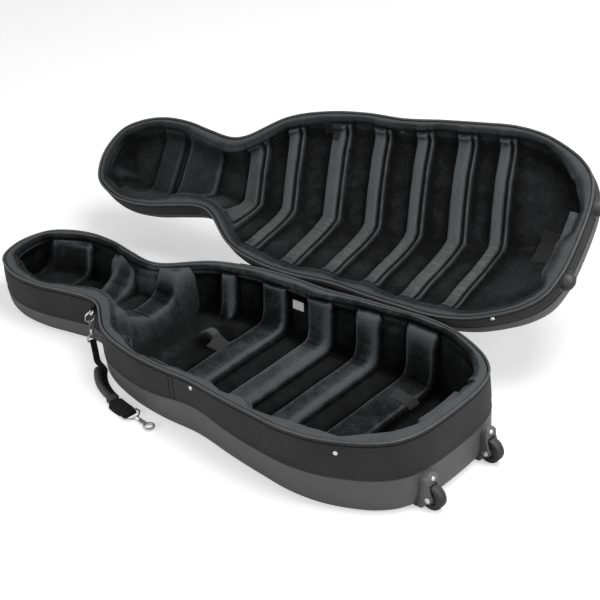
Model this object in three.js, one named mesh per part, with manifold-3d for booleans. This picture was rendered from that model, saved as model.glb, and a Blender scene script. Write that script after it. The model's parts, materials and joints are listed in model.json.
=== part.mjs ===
// A shaped hard case for a cello, lying on its back with its lid open.
//
// The case frame has x along the case from the scroll end (-) to the bottom end (+), y towards the
// hinge side and z up from the plane where the two halves meet. The base is deeper at its bottom end,
// so with its back flat on the ground the meeting plane leans, and the whole case frame is turned by
// that small angle. Millimetres throughout.

import * as THREE from "three";
import { mergeVertices } from "three/addons/utils/BufferGeometryUtils.js";
import Module from "manifold-3d";

const wasm = await Module();
wasm.setup();

// Driving sizes: outline
const caseLength = 1330;
const scrollHalf = 125;
const neckHalf = 100.5;
const upperHalf = 225;
const lowerHalf = 251;
const outlinePoints = 64;

// Stations from the scroll end as shares of the length, and half-widths as shares of the named half.
const scrollShares = [[0.0157, 0.576], [0.0476, 0.832], [0.0955, 0.99], [0.155, 0.99], [0.207, 0.888]];
const neckShares = [[0.262, 1], [0.29, 1.095]];
const upperShares = [[0.3605, 0.805], [0.437, 0.947], [0.516, 1], [0.594, 1.002]];
const lowerShares = [
  [0.669, 0.944], [0.741, 0.978], [0.806, 1], [0.8645, 0.962],
  [0.9135, 0.869], [0.952, 0.757], [0.98, 0.61], [0.995, 0.398],
];

// Driving sizes: depths and walls
const scrollDepth = 113.5;
const bottomDepth = 185.3;
const bandScrollHeight = 78;
const bandBottomHeight = 95;
const bandWaistDip = 18;
const lidScrollDepth = 98;
const lidBottomDepth = 120;
const lidBandHeight = 46;
const shellWall = 3;
const bandWall = 6;
const liningLip = 26;
const floorFoam = 26;
const ribRise = 12;
const liningRim = 2;
const rimClearance = 0.4;
const seat = 0.3;
const liningFit = 1.8;
const cutOverrun = 5;
const mergeGap = 1e-4;

// Where the waist and neck lie along the case, and how far the moulded tub draws in there
const waistShare = 0.594;
const neckShare = 0.262;
const waistSpread = 110;
const neckSpread = 130;
const endSpread = 60;
const tubCorner = 22;
const tubDraft = 4;
const neckDraft = 12;
const waistDraft = 10;
const endDraft = 14;
const lidCrownInset = 62;

// Rim: piping, then the zip chain, then the fabric band
const pipingHeight = 4;
const pipingProud = 1.2;
const pipingInset = 4;
const zipHeight = 7.5;
const zipRecess = 0.8;
const zipInset = 5;

// Hinge: a fabric spine along the far side
const hingeOffset = 3;
const lidOpenDegrees = 147.2;
const spineThickness = 1.2;
const spineStep = 13;
const spineDepth = 46;
const spineEdge = 0.15;
const spineStartShare = 0.41;
const spineEndShare = 0.8;

const fabricLook = { color: 0x2b2b2d, roughness: 0.92, metalness: 0 };
const tubLook = { color: 0x48494b, roughness: 0.5, metalness: 0 };
const plushLook = { color: 0x1c1c1e, roughness: 1, metalness: 0 };
const pipingLook = { color: 0x3a3a3d, roughness: 0.45, metalness: 0 };
const zipLook = { color: 0x161617, roughness: 0.6, metalness: 0 };
const rubberLook = { color: 0x232324, roughness: 0.8, metalness: 0 };
const mouldedLook = { color: 0x38393b, roughness: 0.5, metalness: 0 };
const chromeLook = { color: 0xc9cacd, roughness: 0.22, metalness: 1 };
const webbingLook = { color: 0x151516, roughness: 0.85, metalness: 0 };
const gripLook = { color: 0x4a4a4c, roughness: 0.6, metalness: 0 };
const labelLook = { color: 0xe9e9e6, roughness: 0.8, metalness: 0 };
const velcroLook = { color: 0x56575a, roughness: 1, metalness: 0 };

function halfLength() {
  return caseLength / 2;
}

function stationX(share) {
  return caseLength * share - halfLength();
}

function bump(x, share, spread) {
  return Math.exp(-(((x - stationX(share)) / spread) ** 2));
}

function blendAlong(x, atScroll, atBottom) {
  return atScroll + ((atBottom - atScroll) * (x + halfLength())) / caseLength;
}

// The outline where the halves meet: a closed smooth curve, sampled evenly round
function buildOutline() {
  const scale = (shares, half) => shares.map(([at, w]) => [stationX(at), w * half]);
  const side = [
    ...scale(scrollShares, scrollHalf),
    ...scale(neckShares, neckHalf),
    ...scale(upperShares, upperHalf),
    ...scale(lowerShares, lowerHalf),
  ];
  const far = side.map(([x, w]) => new THREE.Vector3(x, w, 0));
  const near = side.map(([x, w]) => new THREE.Vector3(x, -w, 0)).reverse();
  const start = new THREE.Vector3(-halfLength(), 0, 0);
  const end = new THREE.Vector3(halfLength(), 0, 0);
  const curve = new THREE.CatmullRomCurve3([start, ...far, end, ...near], true, "centripetal");
  curve.arcLengthDivisions = 20 * outlinePoints;
  const points = [];
  for (let i = 0; i < outlinePoints; i += 1) {
    const at = curve.getPointAt(i / outlinePoints);
    const along = curve.getTangentAt(i / outlinePoints);
    points.push({ x: at.x, y: at.y, inward: new THREE.Vector2(along.y, -along.x) });
  }
  return points;
}

const outline = buildOutline();

function place(point, inset, level) {
  return new THREE.Vector3(point.x + point.inward.x * inset, point.y + point.inward.y * inset, level);
}

// A profile entry's place at an outline point; its level is taken where the inset has brought it
function placeEntry(entry, point) {
  const at = place(point, entry.inset(point), 0);
  at.z = entry.level(at);
  return at;
}

// Geometry made of rows of points; each row closes on itself. Without wrapRows the first and last
// rows are capped.
function rowsGeometry(rows, wrapRows, capFlat) {
  const count = rows[0].length;
  const positions = rows.flat().flatMap((p) => [p.x, p.y, p.z]);
  const faces = [];
  const bands = wrapRows ? rows.length : rows.length - 1;
  for (let j = 0; j < bands; j += 1) {
    const next = (j + 1) % rows.length;
    for (let i = 0; i < count; i += 1) {
      const after = (i + 1) % count;
      const a = j * count + i;
      const b = j * count + after;
      const c = next * count + after;
      const d = next * count + i;
      faces.push([a, b, c], [a, c, d]);
    }
  }
  if (!wrapRows) {
    const cap = THREE.ShapeUtils.triangulateShape(capFlat(rows[0]), []);
    const lidCap = THREE.ShapeUtils.triangulateShape(capFlat(rows[rows.length - 1]), []);
    const last = (rows.length - 1) * count;
    const turned = signedArea(capFlat(rows[0])) > 0;
    const turnedLast = signedArea(capFlat(rows[rows.length - 1])) > 0;
    for (const [a, b, c] of cap) {
      faces.push(turned ? [a, c, b] : [a, b, c]);
    }
    for (const [a, b, c] of lidCap) {
      faces.push(turnedLast ? [last + a, last + b, last + c] : [last + a, last + c, last + b]);
    }
  }
  return closedGeometry(positions, faces);
}

function signedArea(flat) {
  return THREE.ShapeUtils.area(flat);
}

function flatXY(row) {
  return row.map((p) => new THREE.Vector2(p.x, p.y));
}

// Turns the faces outwards if the volume they enclose comes out negative
function closedGeometry(positions, faces) {
  let volume = 0;
  const at = (i) => new THREE.Vector3(positions[3 * i], positions[3 * i + 1], positions[3 * i + 2]);
  for (const [a, b, c] of faces) {
    volume += at(a).dot(at(b).cross(at(c)));
  }
  const index = faces.flatMap(([a, b, c]) => (volume > 0 ? [a, b, c] : [a, c, b]));
  const geometry = new THREE.BufferGeometry();
  geometry.setAttribute("position", new THREE.Float32BufferAttribute(positions, 3));
  geometry.setIndex(index);
  geometry.computeVertexNormals();
  return geometry;
}

// A body swept all round the outline: each profile entry gives an inset and a level at a point
function roundBody(profile) {
  const rows = profile.map((entry) => outline.map((p) => placeEntry(entry, p)));
  return rowsGeometry(rows, false, flatXY);
}

// A ring swept all round the outline with a closed section
function hoop(section) {
  const rows = section.map((entry) => outline.map((p) => placeEntry(entry, p)));
  return rowsGeometry(rows, true, flatXY);
}

// A strip along part of the outline with a closed section, capped at both ends
function strip(points, section) {
  const rows = points.map((p) => section.map((entry) => placeEntry(entry, p)));
  const first = points[0];
  const flat = () => section.map((entry) => new THREE.Vector2(entry.inset(first), entry.level(first)));
  return rowsGeometry(rows, false, flat);
}

// Where the outline meets a distance from the axis, on the bottom end
function endX(y) {
  const ends = outline.filter((p) => p.x > halfLength() - lowerHalf / 2);
  const sorted = ends.map((p) => [Math.abs(p.y), p.x]).sort((a, b) => a[0] - b[0]);
  for (let i = 1; i < sorted.length; i += 1) {
    if (sorted[i][0] >= y) {
      const [y0, x0] = sorted[i - 1];
      const [y1, x1] = sorted[i];
      return y1 === y0 ? x1 : x0 + ((x1 - x0) * (y - y0)) / (y1 - y0);
    }
  }
  return sorted[sorted.length - 1][1];
}

function constant(value) {
  return () => value;
}

// Solids for cutting and joining
function toSolid(geometry) {
  const bare = geometry.clone();
  bare.deleteAttribute("normal");
  bare.deleteAttribute("uv");
  const merged = mergeVertices(bare, mergeGap);
  return new wasm.Manifold(
    new wasm.Mesh({
      numProp: 3,
      vertProperties: new Float32Array(merged.attributes.position.array),
      triVerts: new Uint32Array(merged.index.array),
    }),
  );
}

function fromSolid(solid) {
  const mesh = solid.getMesh();
  const positions = [];
  for (let i = 0; i < mesh.vertProperties.length; i += mesh.numProp) {
    positions.push(...mesh.vertProperties.slice(i, i + 3));
  }
  const geometry = new THREE.BufferGeometry();
  geometry.setAttribute("position", new THREE.Float32BufferAttribute(positions, 3));
  geometry.setIndex(Array.from(mesh.triVerts));
  geometry.computeVertexNormals();
  return geometry;
}

function boxBetween(low, high) {
  const size = new THREE.Vector3().subVectors(high, low);
  const middle = new THREE.Vector3().addVectors(low, high).divideScalar(2);
  return new THREE.BoxGeometry(size.x, size.y, size.z).translate(middle.x, middle.y, middle.z);
}

function mesh(name, geometry, look) {
  const made = new THREE.Mesh(geometry, new THREE.MeshStandardMaterial(look));
  made.name = name;
  return made;
}

// The two halves, described alike. side is -1 below the meeting plane and 1 above it.
const baseHalf = {
  side: -1,
  depth: (x) => blendAlong(x, scrollDepth, bottomDepth),
  band: (x) =>
    blendAlong(x, bandScrollHeight, bandBottomHeight) - bandWaistDip * bump(x, waistShare, waistSpread),
  crownInset: (x) =>
    tubCorner + tubDraft + neckDraft * bump(x, neckShare, neckSpread)
    + waistDraft * bump(x, waistShare, waistSpread)
    + endDraft * (bump(x, 0, endSpread) + bump(x, 1, endSpread)),
  crownShares: [[0, 0], [0.08, 0.62], [0.34, 0.9], [1, 1]],
};

const lidHalf = {
  side: 1,
  depth: (x) => blendAlong(x, lidScrollDepth, lidBottomDepth),
  band: constant(lidBandHeight),
  crownInset: constant(lidCrownInset),
  crownShares: [[0, 0], [0.03, 0.25], [0.2, 0.58], [0.55, 0.86], [1, 1]],
};

// The moulded shell of one half: an outer skin from the band to the crown, and an inner one
function shellGeometry(half) {
  const outer = half.crownShares.map(([insetShare, dropShare]) => ({
    inset: (p) => half.crownInset(p.x) * insetShare,
    level: (p) => half.side * (half.band(p.x) + (half.depth(p.x) - half.band(p.x)) * dropShare),
  }));
  const inner = half.crownShares.map(([insetShare, dropShare]) => ({
    inset: (p) => half.crownInset(p.x) * insetShare + shellWall,
    level: (p) => half.side * (half.band(p.x) + (half.depth(p.x) - shellWall - half.band(p.x)) * dropShare),
  }));
  const skin = roundBody([...outer.reverse(), ...inner]);
  if (half === lidHalf) {
    return skin;
  }
  const lined = toSolid(skin).add(bothWells(shellWall).intersect(outerForm(half, 0)));
  return fromSolid(lined.subtract(bothWells(0)));
}

// The whole outer form of one half, grown by a clearance, for fitting what stands on it
function outerForm(half, grow) {
  const skin = half.crownShares.map(([insetShare, dropShare]) => ({
    inset: (p) => half.crownInset(p.x) * insetShare - grow,
    level: (p) => half.side * (half.band(p.x) + (half.depth(p.x) + grow - half.band(p.x)) * dropShare),
  }));
  return toSolid(roundBody([{ inset: constant(-grow), level: constant(0) }, ...skin]));
}

function rectangleSection(half, insetFrom, insetTo, levelFrom, levelTo) {
  const corner = (inset, level) => ({ inset, level: (p) => half.side * level(p) });
  return [
    corner(insetFrom, levelFrom),
    corner(insetTo, levelFrom),
    corner(insetTo, levelTo),
    corner(insetFrom, levelTo),
  ];
}

function bandTop() {
  return rimClearance + pipingHeight + seat + zipHeight + seat;
}

function bandGeometry(half) {
  const lower = (p) => half.band(p.x) - seat;
  return hoop(rectangleSection(half, constant(0), constant(bandWall), constant(bandTop()), lower));
}

function zipGeometry(half) {
  const top = rimClearance + pipingHeight + seat;
  const bottom = top + zipHeight;
  const section = rectangleSection(
    half, constant(zipRecess), constant(zipInset), constant(top), constant(bottom),
  );
  return hoop(section);
}

function pipingGeometry(half) {
  const middle = rimClearance + pipingHeight / 2;
  const corner = (inset, level) => ({ inset: constant(inset), level: constant(half.side * level) });
  return hoop([
    corner(0, rimClearance),
    corner(pipingInset, rimClearance),
    corner(pipingInset, rimClearance + pipingHeight),
    corner(0, rimClearance + pipingHeight),
    corner(-pipingProud, middle),
  ]);
}

// The lining's inner hollow, drawn in on all sides by shrink
const hollowShares = [[0, 0], [0.14, 0.45], [0.36, 0.85], [1, 1]];
const hollowDrawIn = 34;

function hollowRows(half, shrink, above) {
  const floor = (x) => half.depth(x) - floorFoam - shrink;
  const rows = hollowShares.map(([insetShare, dropShare]) => ({
    inset: (p) => liningLip + shrink + hollowDrawIn * insetShare,
    level: (p) => half.side * (liningRim + (floor(p.x) - liningRim) * dropShare),
  }));
  const mouth = { inset: constant(liningLip + shrink), level: constant(-half.side * above) };
  return above > 0 ? [mouth, ...rows] : rows;
}

// Ribs across the hollow: stations as shares of the length and widths as shares of ribWidth
const ribWidth = 60;
const baseRibShares = [[0.402, 0.7], [0.505, 1.1], [0.604, 0.75], [0.697, 1.1], [0.811, 1.35]];
const lidRibShares = [
  [0.337, 0.6], [0.408, 0.65], [0.491, 0.7], [0.569, 0.7], [0.652, 0.7], [0.744, 0.7], [0.844, 0.7],
];

function ribSlabs(half, shares) {
  const deepest = Math.max(half.depth(-halfLength()), half.depth(halfLength()));
  const solids = shares.map(([at, width]) => {
    const reach = (ribWidth * width) / 2;
    const low = new THREE.Vector3(stationX(at) - reach, -lowerHalf, Math.min(half.side * deepest, 0));
    const high = new THREE.Vector3(stationX(at) + reach, lowerHalf, Math.max(half.side * deepest, 0));
    return toSolid(boxBetween(low, high));
  });
  return solids.reduce((a, b) => a.add(b));
}

function liningGeometry(half, ribShares) {
  const inside = bandWall + seat;
  const skin = half.crownShares.map(([insetShare, dropShare]) => ({
    inset: (p) => half.crownInset(p.x) * insetShare + shellWall + liningFit,
    level: (p) =>
      half.side * (half.band(p.x) + (half.depth(p.x) - shellWall - liningFit - half.band(p.x)) * dropShare),
  }));
  const outer = [
    { inset: constant(inside), level: constant(half.side * liningRim) },
    { inset: constant(inside), level: (p) => half.side * half.band(p.x) },
    ...skin.slice(1),
  ];
  const fill = toSolid(roundBody(outer));
  const hollow = toSolid(roundBody(hollowRows(half, 0, cutOverrun)));
  const narrow = toSolid(roundBody(hollowRows(half, ribRise, cutOverrun)));
  const ribs = ribSlabs(half, ribShares).subtract(narrow);
  const body = fill.subtract(hollow.subtract(ribs));
  return fromSolid(half === lidHalf ? body : body.subtract(bothWells(shellWall + liningFit)));
}

// The foam block under the cello's neck: it fills the hollow there and has a channel through it
const cradleStartShare = 0.2;
const cradleEndShare = 0.36;
const cradleTop = 16;
const channelHalf = 30;
const channelFloor = 62;
const channelSteps = 5;

function cradleGeometry() {
  const body = toSolid(roundBody(hollowRows(baseHalf, seat, 0)));
  const low = new THREE.Vector3(stationX(cradleStartShare), -upperHalf, -bottomDepth);
  const high = new THREE.Vector3(stationX(cradleEndShare), upperHalf, -cradleTop);
  const length = high.x - low.x + 2 * cutOverrun;
  const groove = new THREE.Shape();
  groove.moveTo(-channelHalf, cutOverrun);
  groove.lineTo(-channelHalf, channelHalf - channelFloor);
  groove.absarc(0, channelHalf - channelFloor, channelHalf, Math.PI, 2 * Math.PI, false);
  groove.lineTo(channelHalf, cutOverrun);
  const cutter = new THREE.ExtrudeGeometry(groove, {
    depth: length,
    bevelEnabled: false,
    curveSegments: channelSteps,
  });
  cutter.rotateX(Math.PI / 2).rotateZ(Math.PI / 2).translate(low.x - cutOverrun, 0, 0);
  return fromSolid(body.intersect(toSolid(boxBetween(low, high))).subtract(toSolid(cutter)));
}

// The foam block at the bottom end, in the middle of each half
const endPadHalf = 65;
const endPadReach = 22;
const endPadTop = 8;
const endPadStartShare = 0.9;

function endPadGeometry(half) {
  const body = toSolid(roundBody(hollowRows(half, seat, 0)));
  const inner = toSolid(roundBody(hollowRows(half, endPadReach, cutOverrun)));
  const levels = [half.side * endPadTop, half.side * half.depth(halfLength())];
  const low = new THREE.Vector3(stationX(endPadStartShare), -endPadHalf, Math.min(...levels));
  const high = new THREE.Vector3(halfLength(), endPadHalf, Math.max(...levels));
  const reach = toSolid(boxBetween(low, high)).subtract(inner);
  const above = new THREE.Vector3(stationX(endPadStartShare), -lowerHalf, -bottomDepth);
  const edge = new THREE.Vector3(halfLength() - liningLip - hollowDrawIn, lowerHalf, bottomDepth);
  return fromSolid(body.intersect(reach).subtract(toSolid(boxBetween(above, edge))));
}

// Wheels: two at the bottom end, each in a moulded bracket that wraps the corner
const wheelRadius = 29;
const wheelWidth = 22;
const wheelY = 99;
const wheelOut = 7;
const wheelBore = 6;
const hubRadius = 18;
const axleRadius = 4;
const axleFit = 0.3;
const slotFit = 1.5;
const cheek = 5.5;
const bracketPlate = 14.5;
const bracketTop = 84;
const bracketTuck = 24;
const bracketLift = 1;
const cheekLow = 9;
const cheekFront = 10;
const rivetUp = 72;
const axleHead = 6.5;
const axleHeadThick = 2;
const roundSides = 20;
const cheekSteps = 4;
const archSteps = 12;
const shoulderShare = 0.9;
const treadShare = 0.5;
const dishShare = 0.6;

function tiltAngle() {
  return Math.atan((bottomDepth - scrollDepth) / caseLength);
}

function liftHeight() {
  return baseHalf.depth(0) * Math.cos(tiltAngle());
}

// The level in the case frame of a height above the ground at a station
function levelOf(height, x) {
  return (height - liftHeight() - x * Math.sin(tiltAngle())) / Math.cos(tiltAngle());
}

function wheelX() {
  return halfLength() + wheelOut;
}

function wheelLevel() {
  return levelOf(wheelRadius, wheelX());
}

function drumAcross(radius, width, y, level, x) {
  return new THREE.CylinderGeometry(radius, radius, width, roundSides).translate(x, y, level);
}

// The level of the ground in the case frame where a bracket tucks under the base
function bracketGround() {
  return -baseHalf.depth(endX(wheelY) - bracketTuck);
}

// The room that a wheel takes in the base, grown by a clearance
function wheelWell(side, grow) {
  const radius = wheelRadius + 2 * slotFit + grow;
  const width = wheelWidth + 2 * slotFit + 2 * grow;
  return toSolid(drumAcross(radius, width, side * wheelY, wheelLevel(), wheelX()));
}

function bothWells(grow) {
  return wheelWell(1, grow).add(wheelWell(-1, grow));
}

// The bracket seen from the end: upright sides and a round top
function bracketArch(y, half, from, to, low, top) {
  const arch = new THREE.Shape();
  arch.moveTo(-half, low);
  arch.lineTo(half, low);
  arch.absarc(0, top - half, half, 0, Math.PI, false);
  const block = new THREE.ExtrudeGeometry(arch, {
    depth: to - from,
    bevelEnabled: false,
    curveSegments: archSteps,
  });
  return toSolid(block.rotateX(Math.PI / 2).rotateZ(Math.PI / 2).translate(from, y, 0));
}

function bracketGeometry(side) {
  const y = side * wheelY;
  const half = wheelWidth / 2 + slotFit + cheek;
  const face = endX(wheelY - half) + bracketPlate;
  const ground = bracketGround();
  const top = ground + bracketTop;
  const x = wheelX();
  const level = wheelLevel();
  const shape = new THREE.Shape();
  shape.moveTo(endX(wheelY) - bracketTuck, ground + bracketLift);
  shape.lineTo(endX(wheelY) - tubDraft, ground + bracketLift);
  shape.lineTo(x, level - cheekLow);
  shape.absarc(x, level, cheekFront, -Math.PI / 2, Math.PI / 4, false);
  shape.lineTo(face, level + wheelRadius);
  shape.lineTo(face, top - cheek);
  shape.lineTo(face - cheek, top);
  shape.lineTo(endX(wheelY) - bracketTuck, top);
  const block = new THREE.ExtrudeGeometry(shape, {
    depth: 2 * half,
    bevelEnabled: false,
    curveSegments: cheekSteps,
  });
  block.rotateX(Math.PI / 2).translate(0, y + half, 0);
  const slotWidth = wheelWidth + 2 * slotFit;
  const slotRadius = wheelRadius + 2 * slotFit;
  const slot = wheelWell(side, 0).add(
    toSolid(
      boxBetween(
        new THREE.Vector3(x - slotRadius, y - slotWidth / 2, level - 2 * slotRadius),
        new THREE.Vector3(x + slotRadius, y + slotWidth / 2, level),
      ),
    ),
  );
  const bore = toSolid(drumAcross(axleRadius + axleFit, 4 * half, y, level, x));
  const arch = bracketArch(y, half, endX(wheelY) - bracketTuck, x + wheelRadius, ground, top);
  const body = toSolid(block).intersect(arch);
  return fromSolid(body.subtract(outerForm(baseHalf, seat)).subtract(slot).subtract(bore));
}

function tyreGeometry(y) {
  const half = wheelWidth / 2;
  const shoulder = wheelRadius * shoulderShare;
  const tread = half * treadShare;
  const profile = [
    [hubRadius + axleFit, -half], [shoulder, -half], [wheelRadius, -tread],
    [wheelRadius, tread], [shoulder, half], [hubRadius + axleFit, half], [hubRadius + axleFit, -half],
  ].map(([r, z]) => new THREE.Vector2(r, z));
  return new THREE.LatheGeometry(profile, roundSides).translate(wheelX(), y, wheelLevel());
}

function hubGeometry(y) {
  const half = wheelWidth / 2;
  const dish = half * dishShare;
  const bore = axleRadius + axleFit;
  const profile = [
    [bore, -half], [wheelBore + axleRadius, -half], [wheelBore + axleRadius, -dish],
    [hubRadius, -dish], [hubRadius, dish], [wheelBore + axleRadius, dish],
    [wheelBore + axleRadius, half], [bore, half], [bore, -half],
  ].map(([r, z]) => new THREE.Vector2(r, z));
  return new THREE.LatheGeometry(profile, roundSides).translate(wheelX(), y, wheelLevel());
}

function axleGeometry(y) {
  const reach = wheelWidth / 2 + slotFit + cheek + seat;
  const profile = [
    [0, -reach - axleHeadThick], [axleHead, -reach - axleHeadThick], [axleHead, -reach],
    [axleRadius, -reach], [axleRadius, reach], [axleHead, reach],
    [axleHead, reach + axleHeadThick], [0, reach + axleHeadThick],
  ].map(([r, z]) => new THREE.Vector2(r, z));
  return new THREE.LatheGeometry(profile, roundSides).translate(wheelX(), y, wheelLevel());
}

// A domed rivet head whose axis points along the given direction
const rivetRadius = 5.5;
const rivetRise = 2.6;
const domeShares = [[0, 0], [1, 0], [0.92, 0.5], [0.55, 0.9], [0, 1]];
const domeSides = 12;
const nearRivetShare = 0.598;
const nearRivet = { share: nearRivetShare, side: -1, level: 20 };
const rearRivetShare = 0.9;
const rearRivet = { share: rearRivetShare, side: -1, level: 30 };
const lidRivetShare = 0.905;
const lidRivet = { share: lidRivetShare, side: 1, level: 15 };

function domeGeometry(radius, rise, at, towards) {
  const profile = domeShares.map(([r, z]) => new THREE.Vector2(radius * r, rise * z));
  const geometry = new THREE.LatheGeometry(profile, domeSides);
  const turn = new THREE.Quaternion().setFromUnitVectors(new THREE.Vector3(0, 1, 0), towards);
  geometry.applyQuaternion(turn);
  return geometry.translate(at.x, at.y, at.z);
}

// A rivet on the wall of a half
function bandRivet(half, rivet) {
  const p = outlineAt(stationX(rivet.share), rivet.side);
  const at = new THREE.Vector3(p.x, p.y, half.side * rivet.level).addScaledVector(p.outwards, seat);
  return domeGeometry(rivetRadius, rivetRise, at, p.outwards);
}

function bracketRivet(side) {
  const half = wheelWidth / 2 + slotFit + cheek;
  const face = endX(wheelY - half) + bracketPlate;
  const at = new THREE.Vector3(face + seat, side * wheelY, bracketGround() + rivetUp);
  return domeGeometry(rivetRadius, rivetRise, at, new THREE.Vector3(1, 0, 0));
}

function lidSnap() {
  const p = outlineAt(stationX(snapShare), -1);
  const inset = hollowInset(lidHalf, p, snapLevel);
  const slope = (hollowInset(lidHalf, p, snapLevel + snapRise) - inset) / snapRise;
  const normal = new THREE.Vector3(p.inward.x, p.inward.y, -lidHalf.side * slope).normalize();
  const at = place(p, inset, lidHalf.side * snapLevel).addScaledVector(normal, 2 * seat);
  return domeGeometry(snapRadius, snapRise, at, normal);
}

// Rounded rubber bumpers on the lid's bottom end, trimmed to the wall they stand on
const bumperY = 93;
const bumperLevel = 30;
const bumperFlange = 27;
const bumperDome = 21;
const bumperThick = 4;
const bumperRise = 25;
const bumperSquash = 0.8;
const bumperSides = 16;
const bumperShares = [[1, 0.45], [0.8, 0.8], [0.45, 0.96], [0, 1]];

function bumperGeometry(side) {
  const profile = [
    [0, -bumperThick], [bumperFlange, -bumperThick], [bumperFlange, bumperThick], [bumperDome, bumperThick],
    ...bumperShares.map(([r, z]) => [bumperDome * r, bumperRise * z]),
  ].map(([r, z]) => new THREE.Vector2(r, z));
  const inner = endX(bumperY - bumperFlange);
  const outer = endX(bumperY + bumperFlange);
  const shape = new THREE.LatheGeometry(profile, bumperSides).rotateZ(-Math.PI / 2).scale(1, 1, bumperSquash);
  shape.rotateZ(side * Math.atan2(inner - outer, 2 * bumperFlange));
  shape.translate((inner + outer) / 2, side * bumperY, bumperLevel);
  return fromSolid(toSolid(shape).subtract(outerForm(lidHalf, seat)));
}

// A point on the outline's own polygon at a station, on one side. Its outwards direction is square to
// the polygon's side there.
function outlineAt(x, side) {
  for (let i = 0; i < outline.length; i += 1) {
    const a = outline[i];
    const b = outline[(i + 1) % outline.length];
    const spans = (a.x - x) * (b.x - x) <= 0 && a.x !== b.x;
    if (spans && (a.y + b.y) * side > 0) {
      const t = (x - a.x) / (b.x - a.x);
      const outwards = new THREE.Vector3(a.y - b.y, b.x - a.x, 0).normalize();
      return { x, y: a.y + (b.y - a.y) * t, inward: a.inward.clone().lerp(b.inward, t), outwards };
    }
  }
  throw new Error("no outline point at that station");
}

// How far the wall rises past its own face within a reach to both sides, where it bends outwards
function wallRise(p, side, reach) {
  const rises = [-reach, reach].map((step) => {
    const q = outlineAt(p.x - step * p.outwards.y, side);
    return (q.x - p.x) * p.outwards.x + (q.y - p.y) * p.outwards.y;
  });
  return Math.max(0, ...rises);
}

// The stretch of outline between two stations on one side, ends included
function stretch(fromX, toX, side) {
  const inside = outline.filter((p) => p.y * side > 0 && p.x > fromX && p.x < toX);
  const sorted = inside.sort((a, b) => a.x - b.x);
  return [outlineAt(fromX, side), ...sorted, outlineAt(toX, side)];
}

// How far in the hollow's wall lies at a level below or above the rim
function hollowInset(half, p, level) {
  const floor = half.depth(p.x) - floorFoam;
  const drop = (level - liningRim) / (floor - liningRim);
  for (let i = 1; i < hollowShares.length; i += 1) {
    const [inset0, drop0] = hollowShares[i - 1];
    const [inset1, drop1] = hollowShares[i];
    if (drop <= drop1) {
      const t = (drop - drop0) / (drop1 - drop0);
      return liningLip + hollowDrawIn * (inset0 + (inset1 - inset0) * t);
    }
  }
  return liningLip + hollowDrawIn;
}

// A thin patch lying on the hollow's wall
function wallPatch(half, fromX, toX, side, levelFrom, levelTo, thick) {
  const corner = (level, off) => ({
    inset: (p) => hollowInset(half, p, level) + off,
    level: constant(half.side * level),
  });
  return strip(stretch(fromX, toX, side), [
    corner(levelFrom, seat),
    corner(levelFrom, seat + thick),
    corner(levelTo, seat + thick),
    corner(levelTo, seat),
  ]);
}

// The fabric spine along the hinge side, one strip for each half. It lies on the band, steps out over
// the zip and the piping, and its edge comes up to the hinge line.
function spineGeometry(half) {
  const points = stretch(stationX(spineStartShare), stationX(spineEndShare), 1);
  const edge = spineEdge - hingeOffset;
  const corner = (inset, level) => ({ inset: constant(inset), level: constant(half.side * level) });
  return strip(points, [
    corner(-seat, spineDepth),
    corner(-seat, spineStep),
    corner(edge + spineThickness, spineStep - spineThickness),
    corner(edge + spineThickness, spineEdge),
    corner(edge, spineEdge),
    corner(edge, spineStep),
    corner(-seat - spineThickness, spineStep + spineThickness),
    corner(-seat - spineThickness, spineDepth),
  ]);
}

// The hinge line: the straight line that touches the upper and the lower bout on the far side
function hingeLine() {
  const far = outline.filter((p) => p.y > 0);
  const upper = far.filter((p) => p.x < stationX(waistShare));
  const lower = far.filter((p) => p.x >= stationX(waistShare));
  let from = upper[0];
  let to = lower[0];
  const reach = (p, normal) => p.x * normal.x + p.y * normal.y;
  const furthest = (points, normal) =>
    points.reduce((best, p) => (reach(p, normal) > reach(best, normal) ? p : best));
  for (let turn = 0; turn < outlinePoints; turn += 1) {
    const along = new THREE.Vector2(to.x - from.x, to.y - from.y).normalize();
    const normal = new THREE.Vector2(-along.y, along.x);
    from = furthest(upper, normal);
    to = furthest(lower, normal);
  }
  const along = new THREE.Vector3(to.x - from.x, to.y - from.y, 0).normalize();
  const out = new THREE.Vector3(-along.y, along.x, 0);
  const point = new THREE.Vector3(from.x, from.y, 0).addScaledVector(out, hingeOffset);
  return { point, along };
}

// Velcro patches, label and pockets: stations as shares of the length, the rest in millimetres
const patchThick = 2;
const labelThick = 0.6;
const labelStartShare = 0.536;
const labelEndShare = 0.561;
const labelTop = 40;
const labelHeight = 22;
const pocketStartShare = 0.43;
const pocketEndShare = 0.468;
const pocketTop = 10;
const pocketHeight = 26;
const scrollPocketStartShare = 0.06;
const scrollPocketEndShare = 0.14;
const scrollPocketTop = 12;
const scrollPocketHeight = 34;
const snapShare = 0.592;
const snapLevel = 20;
const snapRadius = 6.5;
const snapRise = 2.4;
const frontVelcroShare = 0.463;
const frontVelcro = { share: frontVelcroShare, y: 48, length: 38, width: 38, lift: 0 };
const rearVelcroShare = 0.819;
const rearVelcro = { share: rearVelcroShare, y: 121, length: 52, width: 32, lift: ribRise };
const endStrapShare = 0.924;
const endStrap = { share: endStrapShare, y: 0, length: 58, width: 86, lift: 0 };

// A flat patch on the floor of a half's hollow
function floorPatch(half, patch) {
  const x = stationX(patch.share);
  const level = half.side * (half.depth(x) - floorFoam - patch.lift - seat - patchThick / 2);
  const slope = Math.atan2(half.depth(halfLength()) - half.depth(-halfLength()), caseLength);
  const geometry = new THREE.BoxGeometry(patch.length, patch.width, patchThick);
  return geometry.rotateY(-half.side * slope).translate(x, patch.y, level);
}

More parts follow.
